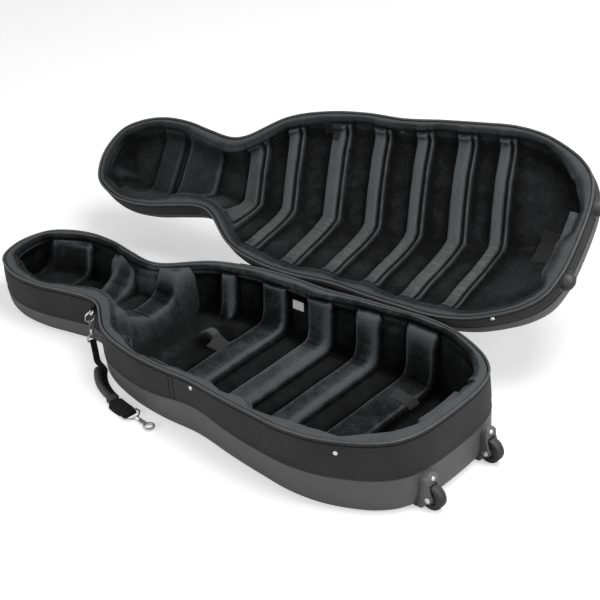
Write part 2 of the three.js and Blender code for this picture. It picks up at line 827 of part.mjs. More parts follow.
// Zip sliders parked where the chain ends, each with a pull tab that hangs from it
const sliderShares = { head: 0.345, tail: 0.906 };
const sliderLength = 15;
const sliderHeight = 7;
const sliderProud = 4.5;
const tabLength = 27;
const tabWidth = 9;
const tabThick = 1.6;
const tabFit = 0.5;

function sliderLevel() {
  return rimClearance + pipingHeight + seat + zipHeight / 2;
}

// A frame on the far side of the outline: x along it, y outwards
function rimFrame(share) {
  const p = outlineAt(stationX(share), 1);
  const out = p.outwards;
  const along = new THREE.Vector3(out.y, -out.x, 0);
  const up = new THREE.Vector3(0, 0, 1);
  const frame = new THREE.Group();
  frame.quaternion.setFromRotationMatrix(new THREE.Matrix4().makeBasis(along, out, up));
  frame.position.set(p.x, p.y, 0);
  return frame;
}

function sliderGeometry() {
  const low = new THREE.Vector3(-sliderLength / 2, seat - zipRecess, -sliderLevel() - sliderHeight / 2);
  const high = new THREE.Vector3(sliderLength / 2, sliderProud, -sliderLevel() + sliderHeight / 2);
  return boxBetween(low, high);
}

function tabGeometry() {
  const low = new THREE.Vector3(-tabWidth / 2, sliderProud + tabFit, -sliderLevel() - tabLength);
  const high = new THREE.Vector3(tabWidth / 2, sliderProud + tabFit + tabThick, -sliderLevel());
  return boxBetween(low, high);
}

// The carrying strap's upper end: a tab on the wall holds a ring, and a snap hook hangs from the ring
const tabGap = 0.455;
const ringGap = 1;
const neckTabWidth = 16;
const neckTabThick = 9;
const neckTabHeight = 16;
const neckTabBelow = 6;
const neckTabShare = 0.286;
const ringWidth = 26;
const ringDrop = 22;
const ringWire = 3;
const ringTilt = 0.5;
const ringCornerShare = 0.55;

// A D ring: a straight bar from the origin along x, the rest of the ring reaching to -drop
function ringSolid(width, drop) {
  const loop = (inset) => {
    const half = width / 2 - inset;
    const corner = half * ringCornerShare;
    const far = inset - drop;
    const shape = new THREE.Shape();
    shape.moveTo(-half, -inset);
    shape.lineTo(half, -inset);
    shape.lineTo(half, far + corner);
    shape.lineTo(half - corner, far);
    shape.lineTo(corner - half, far);
    shape.lineTo(-half, far + corner);
    const depth = ringWire + 2 * inset;
    const plate = new THREE.ExtrudeGeometry(shape, { depth, bevelEnabled: false });
    return toSolid(plate.translate(0, 0, -depth / 2));
  };
  return loop(0).subtract(loop(ringWire)).translate([0, ringWire / 2, 0]);
}

// Snap hook, in its own frame: y along it from the eye to the bow, x across, z through the plate.
// The gate closes the bow on the +x side.
const hookBow = 13;
const hookBowInner = 8.8;
const hookPlate = 4.5;
const hookBowUp = 58;
const hookStem = 5;
const hookBarrel = 5;
const hookBarrelFrom = 14;
const hookBarrelTo = 25;
const hookSides = 20;
const barrelSides = 12;
const gateThick = 3.4;
const gateLow = 8.4;
const gateHigh = 1.6;
const gateFit = 0.6;
const gateRoom = 1.2;
const postRadius = 2.2;
const eyeApex = 11;
const upperEye = { width: 26, drop: 20 };
const lowerEye = { width: 46, drop: 27 };

function disc(radius, thick, up) {
  const round = new THREE.CylinderGeometry(radius, radius, thick, hookSides);
  return toSolid(round.rotateX(Math.PI / 2).translate(0, up, 0));
}

function rod(radius, from, to) {
  const middle = (from + to) / 2;
  return toSolid(new THREE.CylinderGeometry(radius, radius, to - from, barrelSides).translate(0, middle, 0));
}

function hookBodyGeometry() {
  const bow = disc(hookBow, hookPlate, hookBowUp).subtract(disc(hookBowInner, 2 * hookPlate, hookBowUp));
  const gap = toSolid(
    boxBetween(
      new THREE.Vector3(hookStem, hookBowUp - gateLow - gateRoom, -hookPlate),
      new THREE.Vector3(2 * hookBow, hookBowUp + gateHigh + gateFit, hookPlate),
    ),
  );
  const stem = toSolid(
    boxBetween(
      new THREE.Vector3(-hookStem, hookBarrelTo - seat, -hookPlate / 2),
      new THREE.Vector3(hookStem, hookBowUp - (hookBow + hookBowInner) / 2, hookPlate / 2),
    ),
  );
  const barrel = rod(hookBarrel, hookBarrelFrom, hookBarrelTo);
  const postHole = rod(postRadius + seat, hookBarrelFrom - seat, (hookBarrelFrom + hookBarrelTo) / 2 + seat);
  return fromSolid(bow.subtract(gap).add(stem).add(barrel).subtract(postHole));
}

function gateGeometry() {
  const outer = hookBow - gateFit;
  return boxBetween(
    new THREE.Vector3(outer - gateThick, hookBowUp - gateLow, -hookPlate / 2 + seat),
    new THREE.Vector3(outer, hookBowUp + gateHigh, hookPlate / 2 - seat),
  );
}

// The hook's swivel eye: a D ring whose straight bar carries the webbing, and a post in the barrel
function eyeSolid(eye) {
  const ring = ringSolid(eye.width, eye.drop).rotate([0, 0, 180]).translate([0, eyeBar(eye), 0]);
  return ring.add(rod(postRadius, eyeApex - ringWire / 2, (hookBarrelFrom + hookBarrelTo) / 2));
}

// How far the middle of the eye's straight bar lies along the hook
function eyeBar(eye) {
  return eyeApex - eye.drop + ringWire / 2;
}

function hookParts(prefix, eye, eyeTurn) {
  const holder = new THREE.Group();
  const eyeMesh = mesh(`${prefix}_hook_eye`, fromSolid(eyeSolid(eye)), chromeLook);
  eyeMesh.rotation.y = eyeTurn;
  holder.add(
    mesh(`${prefix}_hook_body`, hookBodyGeometry(), chromeLook),
    mesh(`${prefix}_hook_gate`, gateGeometry(), chromeLook),
    eyeMesh,
  );
  return holder;
}

// The strap itself lies on the ground beside the case. Places along it are shares of the strap's reach,
// measured from the upper hook's axis, along the line to the near wall at one station and across it.
const strapReach = 316;
const strapWidth = 15;
const strapThick = 2.4;
const gripWidth = 18;
const gripThick = 14;
const gripSides = 8;
const gripTuck = 2.6;
const keeperWidth = 24;
const keeperThick = 16;
const keeperLength = 20;
const foldWidth = 38;
const foldThick = 13;
const foldHem = 8;
const foldStraight = 20;
const loopThick = 8;
const webShares = [[0, 0], [0.062, -0.0162], [0.13, -0.0337]];
const gripShares = [
  [0.2353, -0.078], [0.2998, -0.109], [0.3843, -0.1398],
  [0.4707, -0.1565], [0.5528, -0.1613], [0.6218, -0.1573],
];
const foldEndShares = [0.8775, -0.1214];
const strapWallShare = 0.5;

function strapPoint([along, across], height) {
  return new THREE.Vector3(strapReach * along, strapReach * across, height);
}

function headings(path) {
  return path.map((at, i) => {
    const before = path[Math.max(i - 1, 0)];
    const after = path[Math.min(i + 1, path.length - 1)];
    return new THREE.Vector2(after.x - before.x, after.y - before.y).normalize();
  });
}

function leftOf(at, heading, side, up) {
  return new THREE.Vector3(at.x - heading.y * side, at.y + heading.x * side, at.z + up);
}

// A band along a path: its section is given as places to the left of the path and up from it
function bandAlong(path, section) {
  const along = headings(path);
  const rows = path.map((at, i) => section.map(([side, up]) => leftOf(at, along[i], side, up)));
  return rowsGeometry(rows, false, () => section.map(([side, up]) => new THREE.Vector2(side, up)));
}

function pathBeside(path, side) {
  const along = headings(path);
  return path.map((at, i) => leftOf(at, along[i], side, 0));
}

function flatSection(width, thick) {
  return [[-width / 2, 0], [width / 2, 0], [width / 2, thick], [-width / 2, thick]];
}

function roundSection(width, thick) {
  const section = [];
  for (let i = 0; i < gripSides; i += 1) {
    const angle = (2 * Math.PI * (i + 1 / 2)) / gripSides;
    section.push([(Math.cos(angle) * width) / 2, ((1 + Math.sin(angle)) * thick) / 2]);
  }
  return section;
}

// A block with a slot through it for a ring's bar, centred on the bar. The bar runs along x.
function loopSolid(width, thick, height) {
  const room = ringWire * Math.SQRT1_2 + seat;
  const cut = new THREE.Vector3(width, room, room);
  const half = new THREE.Vector3(width / 2, thick / 2, height / 2);
  const block = toSolid(boxBetween(half.clone().negate(), half));
  return block.subtract(toSolid(boxBetween(cut.clone().negate(), cut)));
}

// Assembly
const part = new THREE.Group();
const leaning = new THREE.Group();
const base = new THREE.Group();
const lid = new THREE.Group();
leaning.add(base, lid);
part.add(leaning);

base.add(
  mesh("base_shell", shellGeometry(baseHalf), tubLook),
  mesh("base_side_band", bandGeometry(baseHalf), fabricLook),
  mesh("base_zip_chain", zipGeometry(baseHalf), zipLook),
  mesh("base_piping", pipingGeometry(baseHalf), pipingLook),
  mesh("base_lining", liningGeometry(baseHalf, baseRibShares), plushLook),
  mesh("neck_cradle", cradleGeometry(), plushLook),
  mesh("base_end_pad", endPadGeometry(baseHalf), plushLook),
);
for (const [tag, side] of [["left", 1], ["right", -1]]) {
  const y = side * wheelY;
  base.add(
    mesh(`wheel_bracket_${tag}`, bracketGeometry(side), mouldedLook),
    mesh(`wheel_axle_${tag}`, axleGeometry(y), chromeLook),
    mesh(`wheel_hub_${tag}`, hubGeometry(y), mouldedLook),
    mesh(`wheel_tyre_${tag}`, tyreGeometry(y), rubberLook),
  );
}
lid.add(
  mesh("lid_shell", shellGeometry(lidHalf), tubLook),
  mesh("lid_side_band", bandGeometry(lidHalf), fabricLook),
  mesh("lid_zip_chain", zipGeometry(lidHalf), zipLook),
  mesh("lid_piping", pipingGeometry(lidHalf), pipingLook),
  mesh("lid_lining", liningGeometry(lidHalf, lidRibShares), plushLook),
  mesh("lid_end_pad", endPadGeometry(lidHalf), plushLook),
);
for (const [tag, side] of [["left", 1], ["right", -1]]) {
  lid.add(mesh(`lid_bumper_${tag}`, bumperGeometry(side), rubberLook));
}

base.add(
  mesh("base_spine", spineGeometry(baseHalf), fabricLook),
  mesh("care_label", wallPatch(
    baseHalf, stationX(labelStartShare), stationX(labelEndShare), 1,
    labelTop, labelTop + labelHeight, labelThick,
  ), labelLook),
  mesh("front_velcro_patch", floorPatch(baseHalf, frontVelcro), velcroLook),
  mesh("rear_velcro_patch", floorPatch(baseHalf, rearVelcro), velcroLook),
  mesh("band_rivet_front", bandRivet(baseHalf, nearRivet), chromeLook),
  mesh("band_rivet_rear", bandRivet(baseHalf, rearRivet), chromeLook),
  mesh("bracket_rivet_left", bracketRivet(1), chromeLook),
  mesh("bracket_rivet_right", bracketRivet(-1), chromeLook),
);
for (const [tag, share] of Object.entries(sliderShares)) {
  const frame = rimFrame(share);
  frame.add(mesh(`zip_slider_${tag}`, sliderGeometry(), chromeLook));
  frame.add(mesh(`zip_pull_${tag}`, tabGeometry(), chromeLook));
  base.add(frame);
}
lid.add(
  mesh("lid_spine", spineGeometry(lidHalf), fabricLook),
  mesh("lid_pocket", wallPatch(
    lidHalf, stationX(pocketStartShare), stationX(pocketEndShare), -1,
    pocketTop, pocketTop + pocketHeight, patchThick,
  ), velcroLook),
  mesh("scroll_pocket", wallPatch(
    lidHalf, stationX(scrollPocketStartShare), stationX(scrollPocketEndShare), 1,
    scrollPocketTop, scrollPocketTop + scrollPocketHeight, patchThick,
  ), velcroLook),
  mesh("lid_end_strap", floorPatch(lidHalf, endStrap), webbingLook),
  mesh("lid_snap", lidSnap(), mouldedLook),
  mesh("band_rivet_lid", bandRivet(lidHalf, lidRivet), chromeLook),
);

leaning.rotation.y = -tiltAngle();
leaning.position.z = liftHeight();

// The lid turns about the hinge line
const hinge = hingeLine();
const open = new THREE.Quaternion().setFromAxisAngle(hinge.along, -THREE.MathUtils.degToRad(lidOpenDegrees));
lid.position.copy(hinge.point).sub(hinge.point.clone().applyQuaternion(open));
lid.quaternion.copy(open);

// The tab, the ring and the upper hook face the wall at the neck
leaning.updateMatrixWorld(true);
const neck = outlineAt(stationX(neckTabShare), -1);
const neckPoint = leaning.localToWorld(new THREE.Vector3(neck.x, neck.y, -neckTabBelow - neckTabHeight / 2));
const hanging = new THREE.Group();
hanging.position.copy(neckPoint);
hanging.rotation.z = Math.atan2(neck.outwards.x, -neck.outwards.y);
part.add(hanging);
const riseAtTab = wallRise(neck, -1, neckTabWidth / 2);
const riseAtRing = wallRise(neck, -1, ringWidth / 2);
const tabRoom = Math.max(riseAtTab + tabGap + neckTabThick / 2, riseAtRing + ringGap + ringWire / 2);
const tabOut = -tabRoom;
const tab = loopSolid(neckTabWidth, 2 * (tabRoom - riseAtTab - tabGap), neckTabHeight);
const tabMesh = mesh("neck_tab", fromSolid(tab), webbingLook);
tabMesh.position.y = tabOut;
const ringMesh = mesh("neck_ring", fromSolid(ringSolid(ringWidth, ringDrop)), chromeLook);
ringMesh.position.y = tabOut;
ringMesh.rotation.x = Math.PI / 2 - ringTilt;
const barDrop = ringDrop - ringWire;
const barHeight = -barDrop * Math.cos(ringTilt);
const hookOut = tabOut - barDrop * Math.sin(ringTilt);
const hookHeight = barHeight + ringWire * Math.SQRT1_2 + seat - hookBowUp - hookBowInner;

// The strap leaves the hook's foot along the line to the near wall
part.updateMatrixWorld(true);
const hookFoot = hanging.localToWorld(new THREE.Vector3(0, hookOut, hookHeight));
const wall = outlineAt(stationX(strapWallShare), -1);
const wallPoint = leaning.localToWorld(new THREE.Vector3(wall.x, wall.y, 0));
const wallHeading = Math.atan2(wallPoint.y - hookFoot.y, wallPoint.x - hookFoot.x);
const strapHeading = Math.atan2(webShares[1][1], webShares[1][0]);
const upperHook = hookParts("upper", upperEye, wallHeading + strapHeading - hanging.rotation.z);
const up = new THREE.Vector3(0, 0, 1);
const fromWall = new THREE.Vector3(0, -1, 0);
const hookAxes = new THREE.Matrix4().makeBasis(fromWall, up, new THREE.Vector3().crossVectors(fromWall, up));
upperHook.quaternion.setFromRotationMatrix(hookAxes);
upperHook.position.set(0, hookOut, hookHeight);
hanging.add(tabMesh, ringMesh, upperHook);

// The strap's own pieces lie along the ground from below the upper hook
const strap = new THREE.Group();
strap.position.set(hookFoot.x, hookFoot.y, 0);
strap.rotation.z = wallHeading;
part.add(strap);
const barAt = hookFoot.z + eyeBar(upperEye);
const loopHeight = neckTabHeight / 2;
const webHeights = [barAt - loopHeight / 2, barAt / 2, seat];
const gripPath = gripShares.map((share) => strapPoint(share, 0));
const besideGrip = pathBeside(gripPath, (gripWidth + strapWidth) / 2 - gripTuck);
const webPath = [...webShares.map((share, i) => strapPoint(share, webHeights[i])), ...besideGrip];
const webLoop = loopSolid(strapWidth, loopThick, loopHeight)
  .rotate([0, 0, THREE.MathUtils.radToDeg(strapHeading) + 90])
  .translate([0, 0, barAt]);
const webbing = webLoop.add(toSolid(bandAlong(webPath, flatSection(strapWidth, strapThick))));

const gripEnd = gripPath[gripPath.length - 1];
const gripHeading = headings(gripPath)[gripPath.length - 1];
const beyondGrip = (distance) =>
  new THREE.Vector3(gripEnd.x + gripHeading.x * distance, gripEnd.y + gripHeading.y * distance, 0);
const foldStart = seat + keeperLength + seat;
const foldEnd = strapPoint(foldEndShares, 0);
const foldPath = [beyondGrip(foldStart), beyondGrip(foldStart + foldStraight), foldEnd];
const foldHeading = headings(foldPath)[foldPath.length - 1];
const foldAngle = Math.atan2(foldHeading.y, foldHeading.x);
const lowerHook = hookParts("lower", lowerEye, 0);
const hookStart = foldEnd.clone().add(new THREE.Vector3(foldHeading.x, foldHeading.y, 0)
  .multiplyScalar(-foldHem - eyeBar(lowerEye)));
lowerHook.rotation.z = foldAngle - Math.PI / 2;
lowerHook.position.set(hookStart.x, hookStart.y, hookBarrel);
const slotHalf = ringWire / 2 + seat;
const foldSlot = toSolid(new THREE.BoxGeometry(2 * slotHalf, 2 * foldWidth, 2 * slotHalf)
  .translate(-foldHem, 0, hookBarrel)
  .rotateZ(foldAngle)
  .translate(foldEnd.x, foldEnd.y, 0));
const fold = toSolid(bandAlong(foldPath, flatSection(foldWidth, foldThick))).subtract(foldSlot);
const keeperPath = [beyondGrip(seat), beyondGrip(seat + keeperLength)];
strap.add(
  mesh("strap_webbing", fromSolid(webbing), webbingLook),
  mesh("strap_grip", bandAlong(gripPath, roundSection(gripWidth, gripThick)), gripLook),
  mesh("strap_keeper", bandAlong(keeperPath, flatSection(keeperWidth, keeperThick)), webbingLook),
  mesh("strap_fold", fromSolid(fold), webbingLook),
  lowerHook,
);

// The part stands on its own origin: the middle of its bounding box, on the ground
part.updateMatrixWorld(true);
const bounds = new THREE.Box3().setFromObject(part, true);
const middle = bounds.getCenter(new THREE.Vector3());
part.position.set(-middle.x, -middle.y, -bounds.min.z);

export default part;
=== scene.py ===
"""A shaped hard case for a cello, open on a pale floor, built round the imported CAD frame.

The case frame is the CAD source's: millimetres, x from the scroll end (-) to the bottom end (+), y towards
the hinge, z up from the plane where the halves meet. Pieces are made in it and then moved to the row frame.
"""
import json
import math

import bpy
import bmesh
import numpy as np
from mathutils import Matrix, Vector
from mathutils.bvhtree import BVHTree

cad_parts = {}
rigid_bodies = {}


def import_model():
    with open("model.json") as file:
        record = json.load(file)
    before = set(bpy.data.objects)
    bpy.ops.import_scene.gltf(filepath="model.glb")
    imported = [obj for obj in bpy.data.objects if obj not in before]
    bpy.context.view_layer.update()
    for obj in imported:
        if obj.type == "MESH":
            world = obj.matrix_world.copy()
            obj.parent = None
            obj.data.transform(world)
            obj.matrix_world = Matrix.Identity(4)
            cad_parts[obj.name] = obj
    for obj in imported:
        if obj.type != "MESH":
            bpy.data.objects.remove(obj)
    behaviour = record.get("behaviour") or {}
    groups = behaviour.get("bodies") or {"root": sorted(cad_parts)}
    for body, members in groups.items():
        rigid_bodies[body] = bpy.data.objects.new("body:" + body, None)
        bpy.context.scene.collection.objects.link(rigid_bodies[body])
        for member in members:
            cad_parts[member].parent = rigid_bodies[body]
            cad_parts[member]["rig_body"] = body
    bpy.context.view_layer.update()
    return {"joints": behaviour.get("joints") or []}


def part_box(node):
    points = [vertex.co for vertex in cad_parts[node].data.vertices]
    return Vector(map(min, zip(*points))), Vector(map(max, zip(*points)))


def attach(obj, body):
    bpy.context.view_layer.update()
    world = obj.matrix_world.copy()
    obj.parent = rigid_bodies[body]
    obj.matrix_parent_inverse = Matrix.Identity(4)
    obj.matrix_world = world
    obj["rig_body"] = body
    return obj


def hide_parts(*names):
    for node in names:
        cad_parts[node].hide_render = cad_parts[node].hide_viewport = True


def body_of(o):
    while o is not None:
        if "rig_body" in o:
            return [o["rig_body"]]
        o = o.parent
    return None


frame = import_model()

# Sizes repeated from the CAD source, in millimetres
CASE_LENGTH = 1330
SCROLL_HALF = 125
NECK_HALF = 100.5
UPPER_HALF = 225
LOWER_HALF = 251
SCROLL_SHARES = [[0.0157, 0.576], [0.0476, 0.832], [0.0955, 0.99], [0.155, 0.99], [0.207, 0.888]]
NECK_SHARES = [[0.262, 1], [0.29, 1.095]]
UPPER_SHARES = [[0.3605, 0.805], [0.437, 0.947], [0.516, 1], [0.594, 1.002]]
LOWER_SHARES = [
    [0.669, 0.944], [0.741, 0.978], [0.806, 1], [0.8645, 0.962],
    [0.9135, 0.869], [0.952, 0.757], [0.98, 0.61], [0.995, 0.398],
]
SCROLL_DEPTH = 113.5
BOTTOM_DEPTH = 185.3
LID_SCROLL_DEPTH = 98
LID_BOTTOM_DEPTH = 120
BAND_SCROLL = 78
BAND_BOTTOM = 95
BAND_DIP = 18
LID_BAND = 46
WAIST_SHARE = 0.594
NECK_SHARE = 0.262
WAIST_SPREAD = 110
NECK_SPREAD = 130
END_SPREAD = 60
CROWN_INSET = 26
NECK_DRAFT = 12
WAIST_DRAFT = 10
END_DRAFT = 14
LID_CROWN_INSET = 62
SHELL_WALL = 3
BAND_WALL = 6
BAND_TOP = 12.5
LINING_RIM = 2
FLOOR_FOAM = 26
HOLLOW_LIP = 26
HOLLOW_DRAW = 34
RIB_RISE = 17
LID_RIB_RISE = 19
RIB_WIDTH = 60
BASE_RIB_SHARES = [
    # share of the length, share of the rib width, share of the rise on the walls and on the floor
    [0.0745, 1.85, 0.75, 0.4], [0.187, 0.5, 0.8, 0.8], [0.405, 0.66, 1, 0], [0.502, 1.2, 1, 1],
    [0.601, 1.1, 1, 1], [0.697, 1.05, 1, 1], [0.806, 1.45, 1, 1],
]
LID_RIB_SHARES = [
    [0.1256, 1.0, 0.3, 0.3], [0.2034, 1.8, 0.5, 0.5], [0.318, 0.63, 0.9, 0.9], [0.393, 0.5, 1, 1],
    [0.484, 0.65, 1, 1], [0.5695, 0.58, 1, 1], [0.6545, 0.52, 1, 1], [0.737, 0.62, 1, 1], [0.815, 0.52, 1, 1],
]
OPEN_ANGLE = math.radians(147.2)
WHEEL_RADIUS = 29
WHEEL_Y = 99
WHEEL_OUT = 7
WELL_RADIUS = 32
WELL_HALF = 12.5
WELL_EDGE = 3
WELL_SKIN = 3
MM = 0.001

joints = {j["name"]: j for j in frame["joints"]}
half_length = CASE_LENGTH / 2
tilt = math.atan((BOTTOM_DEPTH - SCROLL_DEPTH) / CASE_LENGTH)
lift = (SCROLL_DEPTH + BOTTOM_DEPTH) / 2 * math.cos(tilt)


def station(share):
    return CASE_LENGTH * share - half_length


def bump_at(x, share, spread):
    return np.exp(-(((x - station(share)) / spread) ** 2))


def running(steps):
    """The sums up to each step, from 0."""
    return np.concatenate([[0], np.cumsum(steps)])


def smooth(value, low, high):
    t = np.clip((value - low) / (high - low), 0, 1)
    return t * t * (3 - 2 * t)


# The case frame's place in the row frame, found from the left wheel's hub
wheel_level = (WHEEL_RADIUS - lift - (half_length + WHEEL_OUT) * math.sin(tilt)) / math.cos(tilt)
hub = Vector(joints["wheel_left_spin"]["pos_m"]) / MM
wheel_centre = Vector((half_length + WHEEL_OUT, WHEEL_Y, wheel_level))
lean = Matrix.Rotation(-tilt, 4, "Y")
shift = hub - lean @ wheel_centre
shift.z = lift
TO_ROW = Matrix.Scale(MM, 4) @ Matrix.Translation(shift) @ lean
hinge_at = Vector(joints["lid_hinge"]["pos_m"])
hinge_turn = Matrix.Rotation(-OPEN_ANGLE, 4, Vector(joints["lid_hinge"]["axis"]))
OPENED = Matrix.Translation(hinge_at) @ hinge_turn @ Matrix.Translation(-hinge_at)
LID_TO_ROW = OPENED @ TO_ROW
ROW = Matrix.Scale(MM, 4)


# The outline where the halves meet
TINY = 1e-9
OUTLINE_STEPS = 500


def catmull_rom(points, closed, steps):
    """A centripetal Catmull-Rom curve through the points, sampled evenly in its own parameter."""
    points = np.array(points, float)
    count = len(points)
    spans = count if closed else count - 1
    if closed:
        padded = np.vstack([points[-1:], points, points[:2]])
    else:
        padded = np.vstack([2 * points[0] - points[1], points, 2 * points[-1] - points[-2]])
    out = []
    for i in range(spans):
        p = padded[i:i + 4]
        gap = np.sqrt(np.linalg.norm(np.diff(p, axis=0), axis=1)) + TINY
        first = (p[1] - p[0]) / gap[0] - (p[2] - p[0]) / (gap[0] + gap[1]) + (p[2] - p[1]) / gap[1]
        last = (p[2] - p[1]) / gap[1] - (p[3] - p[1]) / (gap[1] + gap[2]) + (p[3] - p[2]) / gap[2]
        first, last = first * gap[1], last * gap[1]
        t = (np.arange(steps) / steps)[:, None]
        square = -3 * p[1] + 3 * p[2] - 2 * first - last
        cube = 2 * p[1] - 2 * p[2] + first + last
        out.append(p[1] + first * t + square * t ** 2 + cube * t ** 3)
    if not closed:
        out.append(points[-1:])
    return np.vstack(out)


def outline_table():
    side = []
    for shares, half in (
        (SCROLL_SHARES, SCROLL_HALF), (NECK_SHARES, NECK_HALF),
        (UPPER_SHARES, UPPER_HALF), (LOWER_SHARES, LOWER_HALF),
    ):
        side += [(station(at), width * half) for at, width in shares]
    near = [(x, -y) for x, y in reversed(side)]
    points = [(-half_length, 0)] + side + [(half_length, 0)] + near
    dense = catmull_rom(points, True, OUTLINE_STEPS)
    dense = np.vstack([dense, dense[:1]])
    return dense, running(np.linalg.norm(np.diff(dense, axis=0), axis=1))


table, table_arc = outline_table()
perimeter = table_arc[-1]


class Rim:
    """Places round the outline: arc shares s, points x, y and inward directions nx, ny."""

    def __init__(self, s):
        self.s = np.asarray(s, float)
        arc = (self.s % 1) * perimeter
        self.x = np.interp(arc, table_arc, table[:, 0])
        self.y = np.interp(arc, table_arc, table[:, 1])
        step = perimeter / len(table)
        ahead = [np.interp((arc + step) % perimeter, table_arc, table[:, k]) for k in (0, 1)]
        behind = [np.interp((arc - step) % perimeter, table_arc, table[:, k]) for k in (0, 1)]
        along = np.array([ahead[0] - behind[0], ahead[1] - behind[1]])
        along = along / np.linalg.norm(along, axis=0)
        self.nx, self.ny = along[1], -along[0]

    def ring(self, inset, level):
        """The points at an inset, with the level a number, an array or a function of x."""
        x = self.x + self.nx * inset
        y = self.y + self.ny * inset
        z = level(x) if callable(level) else level
        return np.stack([x, y, np.broadcast_to(z, x.shape)], axis=-1)


# Places on the far side, from the scroll end (share 0) to the bottom end (share one half)
FINE_SHARES = np.linspace(0, 0.5, 4001)
FINE_RIM = Rim(FINE_SHARES)
COARSE_RIM = Rim(np.linspace(0, 0.5, 2001))
END_SHARES = np.linspace(0.43, 0.57, 1201)
END_RIM = Rim(END_SHARES)


def share_at(x, side):
    """The arc share of the outline point at x on the far (1) or near (-1) side."""
    s = float(np.interp(x, FINE_RIM.x, FINE_SHARES))
    return s if side > 0 else 1 - s


def share_at_end(y):
    """The arc share of the outline point at y on the bottom end."""
    return float(np.interp(-y, -END_RIM.y, END_SHARES))


def half_width(x):
    """From the middle of the outline to its far side at x."""
    return np.interp(x, COARSE_RIM.x, COARSE_RIM.y)


def even_rim(count):
    return Rim(np.arange(count) / count)


def dense_rim(count, density):
    """An even number of places, closer together where density(x) is high, mirrored near and far."""
    weight = density(FINE_RIM.x)
    total = running((weight[1:] + weight[:-1]) / 2)
    wanted = np.linspace(0, total[-1], count // 2 + 1)
    far = np.interp(wanted, total, FINE_SHARES)
    return Rim(np.concatenate([far, 1 - far[-2:0:-1]]))


# The two halves. side is -1 below the meeting plane and 1 above it.
class Half:
    def __init__(self, name, side, depths, bands, ribs, to_row):
        self.name, self.side, self.depths, self.bands = name, side, depths, bands
        self.ribs, self.to_row = ribs, to_row

    def rise(self):
        return RIB_RISE if self.side < 0 else LID_RIB_RISE

    def depth(self, x):
        low, high = self.depths
        return low + (high - low) * (x + half_length) / CASE_LENGTH

    def band(self, x):
        low, high = self.bands
        dip = BAND_DIP * bump_at(x, WAIST_SHARE, WAIST_SPREAD) if self.side < 0 else 0
        return low + (high - low) * (x + half_length) / CASE_LENGTH - dip

    def crown(self, x):
        if self.side > 0:
            return LID_CROWN_INSET
        ends = bump_at(x, 0, END_SPREAD) + bump_at(x, 1, END_SPREAD)
        waist = WAIST_DRAFT * bump_at(x, WAIST_SHARE, WAIST_SPREAD)
        drawn = NECK_DRAFT * bump_at(x, NECK_SHARE, NECK_SPREAD) + waist
        return CROWN_INSET + drawn + END_DRAFT * ends

    def tub_level(self, share, clear=0):
        """The level of the tub as a function of x: at the band for share 0, at the flat for share 1."""
        def level(x):
            return self.side * (self.band(x) + (self.depth(x) - clear - self.band(x)) * share)
        return level


BASE = Half(
    "base", -1, (SCROLL_DEPTH, BOTTOM_DEPTH), (BAND_SCROLL, BAND_BOTTOM), BASE_RIB_SHARES, TO_ROW)
LID = Half(
    "lid", 1, (LID_SCROLL_DEPTH, LID_BOTTOM_DEPTH), (LID_BAND, LID_BAND), LID_RIB_SHARES, LID_TO_ROW)
CROWN_SHARES = {
    "base": [[0, 0], [0.03, 0.3], [0.08, 0.62], [0.18, 0.79], [0.34, 0.9], [0.6, 0.975], [1, 1]],
    "lid": [
        [0, 0], [0.03, 0.25], [0.09, 0.42], [0.2, 0.58], [0.36, 0.74], [0.55, 0.86], [0.78, 0.955], [1, 1],
    ],
}
CROWN_STEPS = 6
# Places across a wheel well, from its middle, in millimetres
WELL_STEPS = [-16, -15, -14.2, -13.4, -12.5, -8, -4, 0, 4, 8, 12.5, 13.4, 14.2, 15, 16]


def dented(points, grow):
    """The points of the lower half, pushed in where the two wheels stand."""
    points = np.array(points, float)
    x, y, z = points[..., 0], points[..., 1], points[..., 2]
    beside = np.abs(np.abs(y) - WHEEL_Y) - WELL_HALF - grow
    over = 1 - smooth(beside, 0, WELL_EDGE)
    reach = WELL_RADIUS + grow
    height = np.clip(reach ** 2 - (z - wheel_level) ** 2, 0, None)
    face = half_length + WHEEL_OUT - np.sqrt(height)
    points[..., 0] = np.where((height > 0) & (x > face), x + (face - x) * over, x)
    return points


def well_rim(count):
    """Even places with closer ones at the edges of both wheel wells."""
    s = list(np.arange(count) / count)
    end = np.array([share_at_end(side * (WHEEL_Y + away)) for side in (1, -1) for away in WELL_STEPS])
    return Rim(sorted(s + list(end)))


